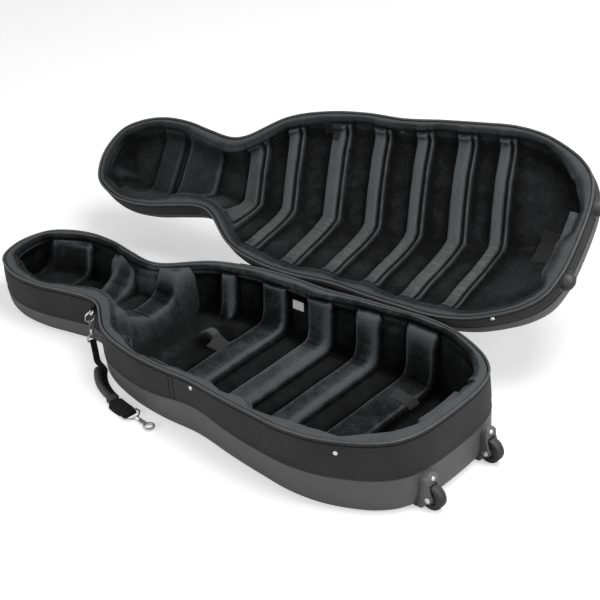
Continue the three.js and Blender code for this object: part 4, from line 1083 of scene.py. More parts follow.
def lip_rows(half, rim, edge, crest_top):
    """The flat top of the foam lip and its round inner edge, each row with its crest mark."""
    near_wall = BAND_WALL + WALL_GAP
    for t in LIP_SHARES:
        inset = near_wall + (edge - LIP_ROUND - near_wall) * t
        crown = LIP_CROWN * math.sin(math.pi * min(1, t * LIP_CROWN_SHARE)) ** 0.5 if t > 0 else LIP_START
        yield rim.ring(inset, half.side * (LINING_RIM - crown)), np.zeros_like(edge)
    for k in range(1, LIP_TURNS):
        turn = k / LIP_TURNS * math.pi / 2
        inset = edge - LIP_ROUND + LIP_ROUND * math.sin(turn)
        level = LINING_RIM - LIP_STEP + LIP_ROUND * (1 - math.cos(turn))
        yield rim.ring(inset, half.side * level), crest_top * LIP_CREST_SHARE * k / LIP_TURNS


def hollow_profile(half, count, hinge_side):
    """For each row and column of the hollow: the share of the way in and of the way down."""
    steps = HOLLOW_STEPS[half.side]
    if half.side < 0:
        return catmull_rom(HOLLOW_SHARES["far"], False, steps)[:, None, :] * np.ones((1, count, 1))
    sweep = catmull_rom(HOLLOW_SHARES["sweep"], False, steps)[:, None, :]
    slope = catmull_rom(HOLLOW_SHARES["slope"], False, steps)[:, None, :]
    return sweep + (slope - sweep) * hinge_side[None, :, None]


def lining_surface(half, rim):
    """The rows of the lining's open surface from the rim to the floor's edge, and its marks."""
    lip_s, lip_w = zip(*LIP_EDGES[half.name])
    lip = np.interp(rim.s, lip_s, lip_w) + LIP_WAVE * np.sin(rim.s * LIP_WAVE_RATE)
    top = rim.ring(HOLLOW_LIP, 0)
    top_rise, crest_top = rib_profile(half, top[:, 0], top[:, 1])
    edge = lip + LIP_RIB[half.side] * top_rise
    rows, crests = (list(kind) for kind in zip(*lip_rows(half, rim, edge, crest_top)))
    bends = [np.zeros_like(lip) for _ in rows]
    begin = LINING_RIM + LIP_ROUND
    ends, hinge_side = hollow_edge(half, rim)
    first = top[:, :2]
    across = ends - first
    along = across / np.linalg.norm(across, axis=1)[:, None]
    full = half.rise()
    lip_edge = rim.ring(edge, 0)[:, :2]
    for k, row in enumerate(hollow_profile(half, len(lip), hinge_side)):
        reach, drop = row[:, 0], row[:, 1]
        place = first + across * reach[:, None]
        level = begin + (half.depth(place[:, 0]) - FLOOR_FOAM - begin) * drop
        rise = rib_profile(half, place[:, 0], place[:, 1])[0]
        held = 1 - smooth(level, *RECESS_TOP)
        rise = np.maximum(rise, RECESS_SHARE * held)
        fade = (1 - smooth(level, begin, LIP_FADE)) * (edge - HOLLOW_LIP - full * RECESS_SHARE)
        level_share = 1 - drop if half.side > 0 else np.ones_like(drop)
        shift = full * rise * level_share + fade * (held + WALL_FADE_SHARE * (1 - held))
        growth = np.minimum(1, drop * WALL_RIPPLE_GROWTH)
        soft = ripple(place[:, 0], place[:, 1], level) * growth * WALL_RIPPLE
        place = place + along * (shift + soft * level_share)[:, None]
        if k == 0:
            place = lip_edge
        x, y = place[:, 0], place[:, 1]
        rise, crest = rib_profile(half, x, y)
        low_rise = rib_profile(half, x, y, True)[0]
        rise = rise + (low_rise - rise) * smooth(drop, *FLOOR_RIB_SHARES)
        floor = (half.depth(x) - FLOOR_FOAM) * sweep_share(half, x, y) - full * rise
        level = begin + (floor - begin) * drop
        rows.append(np.column_stack([place, half.side * level]))
        crests.append(crest * smooth(level, *CREST_TOP))
        bends.append(hinge_side * smooth(drop, *BEND_SHARES) * np.ones_like(lip))
    return np.array(rows), np.array(crests), np.array(bends)


def painted_hollow_shade(half, places):
    """Painted shade: darker pile between the ribs than on them, deeper in the hollows, and on the base's
    mound.
    """
    x, y = places[..., 0], places[..., 1]
    rise = rib_profile(half, x, y)[0]
    deep = smooth(np.abs(places[..., 2]), *HOLLOW_DEEP)
    tone = -HOLLOW_SHADE[half.side] * (1 - np.clip(rise, 0, 1)) * deep
    return tone - mound(x, y) * deep if half.side < 0 else tone


def floor_shape(half):
    """Bends the flat strips between the hollow's edges into the lining's floor."""
    def sag(inner, t):
        x, y = inner[..., 0], inner[..., 1]
        soft = ripple(x, y, inner[..., 2])
        middle = np.sin(np.pi * t)[None, :]
        inner = inner.copy()
        if half.side > 0:
            depth = (half.depth(x) - FLOOR_FOAM) * sweep_share(half, x, y)
            inner[..., 2] = depth - half.rise() * rib_profile(half, x, y)[0]
        inner[..., 2] -= half.side * FLOOR_RIPPLE * soft * np.minimum(1, middle * FLOOR_RIPPLE_GROWTH)
        if half.side < 0:
            inner[..., 2] += MOUND_RISE * mound(x, y)
        return inner
    return sag


def make_lining(half):
    rim = dense_rim(LINING_COUNT, rib_density(half))
    rim = leaning_rim(rim) if half is LID else rim
    rows, crests, bends = lining_surface(half, rim)
    build = Build()
    index = build.grid(rows)
    columns = build.across(rows[-1], index[-1], LINING_STRIPS, sag=floor_shape(half))
    clear = SHELL_WALL + LINING_GAP
    skin = []
    for inset_share, drop_share in CROWN_SHARES[half.name]:
        inset = np.maximum(half.crown(rim.x) * inset_share + clear, BAND_WALL + WALL_GAP)
        skin.append(rim.ring(inset, half.tub_level(drop_share, clear)))
    if half is BASE:
        skin = [dented(row, WELL_SKIN + LINING_GAP) for row in skin]
    outer = np.array([rows[0]] + skin)
    hidden = np.vstack([index[:1], build.add(np.array(skin))])
    build.weave(outer, hidden, turned=True)
    build.across(outer[-1], hidden[-1], BACK_STRIPS, turned=True)
    finish = LID_PLUSH if half is LID else PLUSH
    made = build.object(f"{half.name}_plush_lining", half.to_row, [finish], 60)
    floor = columns[:, 1:-1]
    floor_crest = crests[-1][1:len(rim.s) // 2]
    for name, values, inside in (("crest", crests, floor_crest[:, None]), ("bend", bends, 0)):
        marks = np.zeros(build.count, np.float32)
        marks[index] = values
        marks[floor] = inside
        made.data.attributes.new(name, "FLOAT", "POINT").data.foreach_set("value", marks)
    # The lip's tone, with a painted highlight on part of the base's near lip
    lip_tone_and_highlight = np.full(len(rim.s), LIP_TONE)
    if half is BASE:
        lit_stretch = smooth(rim.x, *HIGHLIGHT_ALONG) * smooth(-rim.y, *HIGHLIGHT_ACROSS)
        lip_tone_and_highlight = LIP_TONE + LIP_HIGHLIGHT * lit_stretch
    # Painted shade in the hollows, with the lip's tone, added to the relief shading
    tone = np.zeros(build.count)
    tone[index] = painted_hollow_shade(half, rows)
    tone[floor] = painted_hollow_shade(half, np.vstack(build.points)[floor])
    tone[index[:len(LIP_SHARES) + LIP_TURNS]] = lip_tone_and_highlight
    mark_relief_shading(made, tone)
    settle(made, half.name, "plush", f"{half.name}_lining")
    return made


linings = {}
for half in (BASE, LID):
    make_shell(half)
    make_band(half)
    make_piping(half)
    make_zip(half)
    linings[half.name] = make_lining(half)


# Helpers for the small pieces
WELD = 0.00001
FLAT_ANGLE = math.radians(1)
BEVEL_STEPS = 3
TURN_STEPS = 64


def box_map(mesh):
    """Map coordinates in metres, from the side that each face looks to most."""
    layer = mesh.uv_layers.get("weave") or mesh.uv_layers.new(name="weave")
    for face in mesh.polygons:
        n = [abs(c) for c in face.normal]
        main = n.index(max(n))
        u, v = [(1, 2), (0, 2), (0, 1)][main]
        for k in face.loop_indices:
            at = mesh.vertices[mesh.loops[k].vertex_index].co
            layer.data[k].uv = (at[u], at[v])


def bake(made):
    """Turns the object's modifiers into a mesh of its own."""
    graph = bpy.context.evaluated_depsgraph_get()
    baked = bpy.data.meshes.new_from_object(made.evaluated_get(graph))
    made.modifiers.clear()
    made.data = baked
    return baked


def surface(mesh, finish):
    """Gives a mesh its one finish, its map coordinates and smooth shading."""
    mesh.materials.clear()
    mesh.materials.append(finish)
    box_map(mesh)
    mesh.shade_smooth()


def refine(node, name, finish, slot, width, levels=0, angle=35):
    """A finer copy of a rigid CAD node: its edges are rounded and its curved faces are smooth."""
    source = bpy.data.objects[node]
    mesh = source.data.copy()
    mesh.name = name
    limit = math.radians(angle)
    work = bmesh.new()
    work.from_mesh(mesh)
    bmesh.ops.remove_doubles(work, verts=work.verts, dist=WELD)
    bmesh.ops.dissolve_limit(work, angle_limit=FLAT_ANGLE, verts=work.verts, edges=work.edges)
    if width:
        sharp = [e for e in work.edges if len(e.link_faces) == 2 and abs(e.calc_face_angle(0)) > limit]
        bmesh.ops.bevel(
            work, geom=sharp, offset=width * MM, segments=BEVEL_STEPS, profile=0.5, affect="EDGES",
            clamp_overlap=True)
    work.to_mesh(mesh)
    work.free()
    made = placed_object(name, mesh, source.matrix_world)
    if levels:
        made.modifiers.new("soften", "SUBSURF").levels = levels
        mesh = bake(made)
    outwards(mesh)
    surface(mesh, finish)
    mesh.set_sharp_from_angle(angle=limit)
    return settle(made, body_of(source)[0], slot, node)


def refine_metal(node, name, width, **settings):
    return refine(node, name, METAL, "bright_metal", width, **settings)


def frame_of(axis):
    """Two directions square to the axis."""
    axis = Vector(axis).normalized()
    side = axis.orthogonal().normalized()
    return np.array(axis), np.array(side), np.array(axis.cross(side))


def lathe(build, profile, centre, axis, steps=TURN_STEPS, wave=None):
    """A turned form from (along, radius) pairs. wave(along, radius, turn) shifts it along the axis."""
    main, side, up = frame_of(axis)
    turn = np.arange(steps) / steps * 2 * math.pi
    ring = np.cos(turn)[:, None] * side + np.sin(turn)[:, None] * up
    rows = []
    for along, radius in profile:
        push = along + (wave(along, radius, turn) if wave else np.zeros(steps))
        rows.append(np.array(centre) + push[:, None] * main + ring * radius)
    build.grid(np.array(rows), wrap_rows=True)
    return build


def slab(top, bottom):
    """A closed sheet between two grids of points of the same size."""
    build = Build()
    upper = build.add(top)
    lower = build.add(bottom)
    down = running(np.linalg.norm(np.diff(top, axis=0), axis=2).mean(axis=1)) * MM
    along = running(np.linalg.norm(np.diff(top, axis=1), axis=2).mean(axis=0)) * MM
    rows, columns = upper.shape
    for j in range(rows - 1):
        for i in range(columns - 1):
            corners = ((j, i), (j, i + 1), (j + 1, i + 1), (j + 1, i))
            spots = [(along[b], down[a]) for a, b in corners]
            build.face([upper[c] for c in corners], spots)
            build.face([lower[c] for c in corners[::-1]], spots[::-1])
    border = [(0, i) for i in range(columns)] + [(j, columns - 1) for j in range(1, rows)]
    border += [(rows - 1, i) for i in range(columns - 2, -1, -1)] + [(j, 0) for j in range(rows - 2, 0, -1)]
    for k, here in enumerate(border):
        ahead = border[(k + 1) % len(border)]
        spots = [(along[here[1]], down[here[0]])] * 2 + [(along[ahead[1]], down[ahead[0]])] * 2
        build.face([upper[here], lower[here], lower[ahead], upper[ahead]], spots)
    return build


def surface_tree(made):
    places = [v.co[:] for v in made.data.vertices]
    return BVHTree.FromPolygons(places, [p.vertices[:] for p in made.data.polygons])


trees = {name: surface_tree(made) for name, made in linings.items()}
PATCH_REACH = 60
PATCH_SINK = 1.2
PATCH_STEPS = 14
PATCH_EDGE_SHARES = np.array([0, 0.012, 0.04, 0.08])
PATCH_RISE_SHARES = np.array([0, 0.55, 0.9, 1])
PATCH_FLAT_SHARES = (0.12, 0.88)


def patch(name, half, towards, size, thick, finish, node, slot):
    """A flat piece that lies on the lining, about the middle of the CAD piece."""
    turn = half.to_row.to_3x3().normalized()
    aim = (turn @ Vector(towards)).normalized()
    right = turn @ Vector((1, 0, 0))
    right = (right - aim * right.dot(aim)).normalized()
    down = aim.cross(right)
    low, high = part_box(node)
    middle = (low + high) / 2
    width, height = size
    flat = np.linspace(*PATCH_FLAT_SHARES, PATCH_STEPS)
    shares = np.concatenate([PATCH_EDGE_SHARES, flat, 1 - PATCH_EDGE_SHARES[::-1]])
    swell = np.concatenate([PATCH_RISE_SHARES, np.ones(PATCH_STEPS), PATCH_RISE_SHARES[::-1]])
    top, bottom = [], []
    for j, v in enumerate(shares):
        upper, lower = [], []
        for i, u in enumerate(shares):
            start = middle + right * ((u - 0.5) * width * MM) + down * ((v - 0.5) * height * MM)
            start = start - aim * (PATCH_REACH * MM)
            hit = trees[half.name].ray_cast(start, aim)[0]
            hit = hit if hit is not None else start + aim * (PATCH_REACH * MM)
            tall = thick * min(swell[i], swell[j])
            upper.append(np.array(hit - aim * (tall * MM)) / MM)
            lower.append(np.array(hit + aim * (PATCH_SINK * MM)) / MM)
        top.append(upper)
        bottom.append(lower)
    made = slab(np.array(top), np.array(bottom)).object(name, ROW, [finish], 50)
    return settle(made, half.name, slot, node)


# Wheels, brackets, bumpers, rivets and zip pulls
TYRE_PROFILE = [
    (-10.3, 18.2), (-11, 19.6), (-11, 25.2), (-10.4, 27.2), (-9, 28.5), (-7, 29), (-1.2, 29), (-0.7, 28.5),
    (0.7, 28.5), (1.2, 29), (7, 29), (9, 28.5), (10.4, 27.2), (11, 25.2), (11, 19.6), (10.3, 18.2),
]
HUB_PROFILE = [
    (-9.6, 4.3), (-10, 5), (-10, 7.2), (-9.4, 8), (-6.4, 8.8), (-5.8, 9.6), (-5.8, 14.4), (-6.4, 15.2),
    (-9.2, 15.9), (-10, 16.6), (-10, 17.6), (-9.6, 18.1), (9.6, 18.1), (10, 17.6), (10, 16.6), (9.2, 15.9),
    (6.4, 15.2), (5.8, 14.4), (5.8, 9.6), (6.4, 8.8), (9.4, 8), (10, 7.2), (10, 5), (9.6, 4.3),
]
SPOKES = 5
SPOKE_RISE = 2.6
SPOKE_RADII = (9, 15)
SPOKE_EDGES = (0.45, 0.8)
# Widths of rounded edges, in millimetres
SMALL_ROUND = 0.7
GATE_ROUND = 0.9
PULL_ROUND = 0.5
MOULDED_ROUND = 1.4
BUMPER_ROUND = 1.0
TAB_ROUND = 1.2
KEEPER_ROUND = 2.2


def spoke_wave(along, radius, turn):
    if not SPOKE_RADII[0] < radius < SPOKE_RADII[1]:
        return np.zeros_like(turn)
    return math.copysign(SPOKE_RISE, along) * smooth(np.cos(turn * SPOKES), *SPOKE_EDGES)


for side_name in ("left", "right"):
    centre = np.array(joints[f"wheel_{side_name}_spin"]["pos_m"]) / MM
    axis = joints[f"wheel_{side_name}_spin"]["axis"]
    tyre = lathe(Build(), TYRE_PROFILE, centre, axis).object(f"tyre_{side_name}", ROW, [TYRE], 40)
    settle(tyre, f"wheel_{side_name}", "tyre", f"wheel_tyre_{side_name}")
    wheel_hub = lathe(Build(), HUB_PROFILE, centre, axis, wave=spoke_wave)
    wheel_hub = wheel_hub.object(f"hub_{side_name}", ROW, [DARK_MOULDED], 40)
    settle(wheel_hub, f"wheel_{side_name}", "moulding", f"wheel_hub_{side_name}")
    refine_metal(f"wheel_axle_{side_name}", f"axle_{side_name}", SMALL_ROUND)
    refine(f"wheel_bracket_{side_name}", f"bracket_{side_name}", MOULDED, "moulding", MOULDED_ROUND)
    refine_metal(f"bracket_rivet_{side_name}", f"rivet_of_bracket_{side_name}", 0)
    refine(f"lid_bumper_{side_name}", f"bumper_{side_name}", BUMPER, "bumper", BUMPER_ROUND)
for place_name in ("front", "rear", "lid"):
    refine_metal(f"band_rivet_{place_name}", f"rivet_{place_name}", 0)
refine("lid_snap", "snap_stud", DARK_MOULDED, "bright_metal", 0)
for end_name in ("head", "tail"):
    refine_metal(f"zip_slider_{end_name}", f"slider_{end_name}", MOULDED_ROUND)
    refine_metal(f"zip_pull_{end_name}", f"pull_tab_{end_name}", PULL_ROUND)


# The strap with its hooks
for prefix in ("upper", "lower"):
    refine_metal(f"{prefix}_hook_body", f"{prefix}_hook", SMALL_ROUND)
    refine_metal(f"{prefix}_hook_gate", f"{prefix}_gate_lever", GATE_ROUND)
    refine_metal(f"{prefix}_hook_eye", f"{prefix}_eye", SMALL_ROUND)
refine_metal("neck_ring", "ring_of_neck", 0, levels=2, angle=180)
refine("neck_tab", "tab_of_neck", WEBBING, "webbing", TAB_ROUND)
refine("strap_keeper", "keeper", KEEPER, "webbing", KEEPER_ROUND)

STRAP_REACH = 316
STRAP_FOOT = (-299.026, -342.977)
STRAP_TURN = -0.33674
STRAP_WIDTH = 15
STRAP_THICK = 2.4
GRIP_WIDTH = 18
GRIP_THICK = 14
GRIP_TUCK = 2.6
FOLD_WIDTH = 38
FOLD_THICK = 13
KEEPER_END = 20.6
FOLD_STRAIGHT = 20
BAR_LEVEL = 31.3
WEB_REST = 0.1
WEB_TOUCH = 0.3
WEB_STEPS = 12
LOOP_HALF = 4
LOOP_STEPS = 28
LOOP_END = STRAP_WIDTH / 2
LOOP_PROFILE = [
    (-LOOP_END, 2.2), (-LOOP_END, 3.4), (-LOOP_END + 0.6, 4), (0, 4.1), (LOOP_END - 0.6, 4), (LOOP_END, 3.4),
    (LOOP_END, 2.2), (0, 2.1),
]
CORNER_SHARE = 0.32
GROOVE_INSETS = (1.6, 2.1, 2.6)
GROOVE_SHARE = 0.86
GRIP_STEPS = 16
GRIP_SIDES = 28
GRIP_END_SHARE = 0.82
GRIP_EASE_SHARE = 0.08
FOLD_STEPS = 14
FOLD_LAYERS = 4
FOLD_LAYER_SHARES = ((0.02, 0.8), (0.25, 0.1), (0.5, 0), (0.75, 0.1), (0.98, 0.8))
FOLD_STAGGER = 0.9
FOLD_FAR_STAGGER = 0.5
FOLD_FAR_CUT_SHARE = 1.1
FOLD_TAPER = 0.4
FOLD_WIDTH_SHARE = 0.86
FOLD_EASE_SHARE = 0.15
FOLD_THIN_SHARE = 0.72
FOLD_ARCH_SHARES = (0.18, 0.75)
WEB_SHARES = [[0, 0], [0.062, -0.0162], [0.13, -0.0337]]
GRIP_SHARES = [
    [0.2353, -0.078], [0.2998, -0.109], [0.3843, -0.1398],
    [0.4707, -0.1565], [0.5528, -0.1613], [0.6218, -0.1573],
]
FOLD_END_SHARES = [0.8775, -0.1214]


def on_ground(share, height=0.0):
    along, across = share[0] * STRAP_REACH, share[1] * STRAP_REACH
    x = STRAP_FOOT[0] + along * math.cos(STRAP_TURN) - across * math.sin(STRAP_TURN)
    y = STRAP_FOOT[1] + along * math.sin(STRAP_TURN) + across * math.cos(STRAP_TURN)
    return np.array([x, y, height])


def headings(path):
    ahead = np.vstack([path[1:], path[-1:]])
    behind = np.vstack([path[:1], path[:-1]])
    way = (ahead - behind)[:, :2]
    return way / np.linalg.norm(way, axis=1)[:, None]


def beside(path, side):
    way = headings(path)
    out = np.array(path, float)
    out[:, 0] -= way[:, 1] * side
    out[:, 1] += way[:, 0] * side
    return out


def band_along(path, section, scale=None):
    """A section of (left, up) places in millimetres, swept along a path, with both ends closed."""
    way = headings(path)
    rows = []
    for k, at in enumerate(path):
        wide, tall = scale(k / (len(path) - 1)) if scale else (1, 1)
        rows.append([
            (at[0] - way[k, 1] * side * wide, at[1] + way[k, 0] * side * wide, at[2] + up * tall)
            for side, up in section
        ])
    build = Build()
    build.tube(np.array(rows))
    return build


def flat_section(width, thick):
    """The section of a strap, with a stitched groove near both edges of its upper face."""
    half, corner = width / 2, thick * CORNER_SHARE
    outer, groove, inner = (half - inset for inset in GROOVE_INSETS)
    sunk = thick * GROOVE_SHARE
    return [
        (-half + corner, 0), (-half * 0.5, 0), (0, 0), (half * 0.5, 0), (half - corner, 0), (half, corner),
        (half, thick - corner), (half - corner, thick), (outer, thick), (groove, sunk), (inner, thick),
        (0, thick), (-inner, thick), (-groove, sunk), (-outer, thick), (-half + corner, thick),
        (-half, thick - corner), (-half, corner),
    ]


def round_section(width, thick):
    turn = np.arange(GRIP_SIDES) / GRIP_SIDES * 2 * math.pi
    return [(math.cos(t) * width / 2, (1 + math.sin(t)) * thick / 2) for t in turn]


grip_path = np.array([on_ground(share) for share in GRIP_SHARES])
web_heights = [BAR_LEVEL - LOOP_HALF / 2, BAR_LEVEL / 2, WEB_TOUCH]
web_path = [on_ground(share, height) for share, height in zip(WEB_SHARES, web_heights)]
web_path = np.vstack([web_path, beside(grip_path, (GRIP_WIDTH + STRAP_WIDTH) / 2 - GRIP_TUCK)])
web_path[len(WEB_SHARES):, 2] = WEB_REST
web_path = catmull_rom(web_path, False, WEB_STEPS)
web_path[:, 2] = np.maximum(web_path[:, 2], WEB_REST)
web = band_along(web_path, flat_section(STRAP_WIDTH, STRAP_THICK))
web_way = headings(web_path)[0]
loop_axis = (-web_way[1], web_way[0], 0)
lathe(web, LOOP_PROFILE, on_ground(WEB_SHARES[0], BAR_LEVEL), loop_axis, LOOP_STEPS)
web = web.object("webbing", ROW, [WEBBING], 40)
settle(web, "strap", "webbing", "strap_webbing")


def grip_swell(t):
    round_off = GRIP_END_SHARE + (1 - GRIP_END_SHARE) * min(1, min(t, 1 - t) / GRIP_EASE_SHARE)
    return round_off, round_off


grip_line = catmull_rom(grip_path, False, GRIP_STEPS)
grip = band_along(grip_line, round_section(GRIP_WIDTH, GRIP_THICK), grip_swell)
grip = grip.object("carry_grip", ROW, [GRIP], 50)
settle(grip, "strap", "grip", "strap_grip")

grip_way = headings(grip_path)[-1]
past_grip = [grip_path[-1] + np.array([*(grip_way * d), 0]) for d in (KEEPER_END, KEEPER_END + FOLD_STRAIGHT)]
fold_path = catmull_rom(np.vstack([past_grip, [on_ground(FOLD_END_SHARES)]]), False, FOLD_STEPS)


def fold_section(width, thick):
    """Several layers of webbing on each other, each with its own rounded edge."""
    right, left = [], []
    step = thick / FOLD_LAYERS
    for k in range(FOLD_LAYERS):
        half = width / 2 - FOLD_STAGGER * (k % 2) - FOLD_TAPER * k
        for share, cut in FOLD_LAYER_SHARES:
            right.append((half - cut, (k + share) * step))
            far_side = -half + cut * FOLD_FAR_CUT_SHARE + FOLD_FAR_STAGGER * (k % 2)
            left.append((far_side, (k + share) * step))
    return right + left[::-1]


def fold_swell(t):
    wide = FOLD_WIDTH_SHARE + (1 - FOLD_WIDTH_SHARE) * min(1, min(t, 1 - t) / FOLD_EASE_SHARE)
    arch = math.sin(math.pi * min(1, FOLD_ARCH_SHARES[0] + FOLD_ARCH_SHARES[1] * t))
    return wide, FOLD_THIN_SHARE + (1 - FOLD_THIN_SHARE) * arch


fold = band_along(fold_path, fold_section(FOLD_WIDTH, FOLD_THICK), fold_swell)
fold = fold.object("webbing_fold", ROW, [WEBBING], 40)
settle(fold, "strap", "webbing", "strap_fold")


# Hinge spines, one strip on each half
HINGE_OFFSET = 3
SPINE_THICK = 1.2
SPINE_STEP = 13
SPINE_DEPTH = 46
SPINE_EDGE = 0.15
SPINE_SHARES = (0.41, 0.8)
SPINE_COUNT = 150
SEAT = 0.3
# A row of stitching: change of the inset, change of the level
STITCH_STEPS = [(0, 0), (-0.1, 1), (0.25, 1.5), (-0.1, 2)]


def stitched(inset, level):
    return [(inset + step, level + onwards) for step, onwards in STITCH_STEPS]


def make_spine(half):
    first, last = [share_at(station(share), 1) for share in SPINE_SHARES]
    rim = Rim(np.linspace(first, last, SPINE_COUNT))
    edge = SPINE_EDGE - HINGE_OFFSET
    out = -SEAT - SPINE_THICK
    section = [
        # inset and level: up the inside, round the hinge edge and down the outside
        (-SEAT, SPINE_DEPTH), (-SEAT, SPINE_STEP), (edge + SPINE_THICK, SPINE_STEP - SPINE_THICK),
        (edge + SPINE_THICK, SPINE_EDGE + 0.2), (edge + SPINE_THICK / 2, SPINE_EDGE),
        (edge, SPINE_EDGE + 0.2), (edge, SPINE_STEP - 1), (edge + 0.3, SPINE_STEP + 0.4),
        (out, SPINE_STEP + 2), *stitched(out, SPINE_STEP + 8), (out, SPINE_STEP + 11),
        *stitched(out, SPINE_DEPTH - 4), (out + 0.2, SPINE_DEPTH),
    ]
    rows = np.array([rim.ring(inset, half.side * level) for inset, level in section])
    build = Build()
    build.tube(rows.transpose(1, 0, 2))
    made = build.object(f"{half.name}_hinge_fabric", half.to_row, [SPINE], 40)
    return settle(made, half.name, "band_fabric", f"{half.name}_spine")


make_spine(BASE)
make_spine(LID)


# The neck cradle, a moulded foam block under plush, in three stretches along the case
CRADLE_YS = [
    -150, -110, -86, -78, -70, -62, -56, -50, -42, -30, -15, 0, 20, 50, 68, 80, 85, 89, 95, 104, 120, 150,
]
CRADLE_TABLE = [
    # station, then the level at each place across
    (-428, [4, 4, 4, 5, 14, 46, 58, 64, 68, 72, 75, 74, 70, 56, 40, 24, 17, 12, 7, 4, 4, 4]),
    (-348, [4, 4, 4, 4, 4, 5, 10, 42, 60, 70, 75, 75, 72, 60, 42, 24, 17, 12, 6, 4, 4, 4]),
    (-338, [4, 4, 4, 4, 4, 5, 10, 46, 74, 80, 81, 81, 81, 81, 80, 78, 68, 12, 5, 4, 4, 4]),
    (-282, [4, 4, 4, 4, 4, 8, 26, 46, 72, 80, 81, 81, 81, 81, 80, 78, 68, 12, 5, 4, 4, 4]),
    (-270, [4, 4, 4, 4, 5, 24, 40, 44, 50, 56, 63, 66, 65, 61, 46, 14, 6, 4, 4, 4, 4, 4]),
    (-214, [4, 4, 8, 28, 38, 41, 44, 48, 52, 57, 63, 66, 65, 61, 46, 14, 6, 4, 4, 4, 4, 4]),
]
CRADLE_FROM, CRADLE_TO = -426, -186
CRADLE_STRETCHES = [
    # from, to, number of rows
    (CRADLE_FROM, -350, 20), (-347, -334, 8), (-330, -286, 12), (-283, -268, 8), (-264, -212, 15),
    (-209, CRADLE_TO, 14),
]
CRADLE_COLUMNS = 90
CRADLE_START_EASE = 12
CRADLE_END_EASE = 26
CRADLE_RIPPLE = 0.8
CRADLE_SINK = 4
CRADLE_ROUNDS = 2
CRADLE_SEAM = (-17, 2.2, 5)
CRADLE_SEAM_FROM = -290
CRADLE_EDGE_INSET = 14
CRADLE_BOTTOM = 10


def cradle_level(x, y):
    stations = [row[0] for row in CRADLE_TABLE]
    across = np.array([np.interp(y, CRADLE_YS, row[1]) for row in CRADLE_TABLE])
    level = np.array([np.interp(x, stations, column) for column in across.T])
    seam_y, seam_width, seam_depth = CRADLE_SEAM
    if x > CRADLE_SEAM_FROM:
        level = level + seam_depth * np.exp(-(((y - seam_y) / seam_width) ** 2))
    return level


def soften_rows(grid, rounds):
    """Rounds off a height field, with its border kept."""
    for _ in range(rounds):
        z = grid[..., 2]
        near = (z[:-2, 1:-1] + z[2:, 1:-1] + z[1:-1, :-2] + z[1:-1, 2:]) / 4
        z[1:-1, 1:-1] = (z[1:-1, 1:-1] + near) / 2
    return grid


def make_cradle():
    top, bottom = [], []
    for x in np.concatenate([np.linspace(*stretch) for stretch in CRADLE_STRETCHES]):
        wide = half_width(x) - CRADLE_EDGE_INSET
        y = np.linspace(-wide, wide, CRADLE_COLUMNS)
        start = smooth(x, CRADLE_FROM + CRADLE_START_EASE, CRADLE_FROM)
        finish = smooth(x, CRADLE_TO - CRADLE_END_EASE, CRADLE_TO)
        foot = BASE.depth(x) - FLOOR_FOAM + CRADLE_BOTTOM
        level = cradle_level(x, y)
        level = level + (foot - level) * max(start, finish)
        along = np.full_like(y, x)
        level = level + CRADLE_RIPPLE * ripple(along, y, level)
        top.append(np.stack([along, y, -level], axis=-1))
        bottom.append(np.stack([along, y, np.full_like(y, -foot - CRADLE_SINK)], axis=-1))
    top = soften_rows(np.array(top), CRADLE_ROUNDS)
    made = slab(top, np.array(bottom)).object("cradle_of_neck", TO_ROW, [PAD_PLUSH], 60)
    # Painted shade in the cradle's hollows and a painted highlight on its crests
    mark_relief_shading(made)
    settle(made, "base", "plush", "neck_cradle")
    return made


make_cradle()


# Pads at the bottom end, soft and rounded
PILLOW_GRAIN = 4.0
PILLOW_ROUNDS = 8
PILLOW_EASE = 0.6


def pillow(node, name):
    source = bpy.data.objects[node]
    made = placed_object(name, source.data.copy(), source.matrix_world)
    grain = made.modifiers.new("grain", "REMESH")
    grain.mode = "VOXEL"
    grain.voxel_size = PILLOW_GRAIN * MM
    ease = made.modifiers.new("ease", "SMOOTH")
    ease.iterations = PILLOW_ROUNDS
    ease.factor = PILLOW_EASE
    surface(bake(made), PAD_PLUSH)
    # Painted shade in the pad's hollows and a painted highlight on its crests
    mark_relief_shading(made)
    settle(made, body_of(source)[0], "plush", node)
    return made


pillow("base_end_pad", "end_pad_of_base")
pillow("lid_end_pad", "end_pad_of_lid")

# Hook-and-loop patches, label, pockets and the end strap
PATCHES = [
    # name, half, way towards the lining, size, thickness, finish, CAD node, slot
    ("label_of_care", BASE, (0, 1, 0.05), (33, 22), 0.6, LABEL, "care_label", "label"),
    ("velcro_front", BASE, (0, 0, -1), (56, 44), 2, HOOKS, "front_velcro_patch", "hook_and_loop"),
    ("velcro_rear", BASE, (0, 0.25, -1), (56, 34), 2, HOOKS, "rear_velcro_patch", "hook_and_loop"),
    ("pocket_of_lid", LID, (0, -1, 0.35), (50, 28), 2, POCKET, "lid_pocket", "hook_and_loop"),
    ("pocket_of_scroll", LID, (0, 1, 0.5), (104, 36), 2.4, POCKET, "scroll_pocket", "hook_and_loop"),
    ("strap_of_lid_end", LID, (0, 0, 1), (58, 86), 2.4, POCKET, "lid_end_strap", "hook_and_loop"),
]
for patch_settings in PATCHES:
    patch(*patch_settings)


# Camera, fitted to the photograph
CAMERA_AT = (2656.5, -2484.7, 2142.5)
CAMERA_FORWARD = (-0.5993, 0.6215, -0.5045)
CAMERA_RIGHT = (0.7520, 0.6532, -0.0886)
CAMERA_LENS = 113.34
CAMERA_SENSOR = 36
CAMERA_CLIPS = (0.05, 60)


def make_camera():
    turn = TO_ROW.to_3x3().normalized()
    forward = (turn @ Vector(CAMERA_FORWARD)).normalized()
    right = turn @ Vector(CAMERA_RIGHT)
    right = (right - forward * right.dot(forward)).normalized()
    up = right.cross(forward)
    data = bpy.data.cameras.new("view")
    data.lens = CAMERA_LENS
    data.sensor_width = CAMERA_SENSOR
    data.clip_start, data.clip_end = CAMERA_CLIPS
    facing = Matrix((right, up, -forward)).transposed().to_4x4()
    place = Matrix.Translation(TO_ROW @ Vector(CAMERA_AT))
    bpy.context.scene.camera = placed_object("view", data, place @ facing)


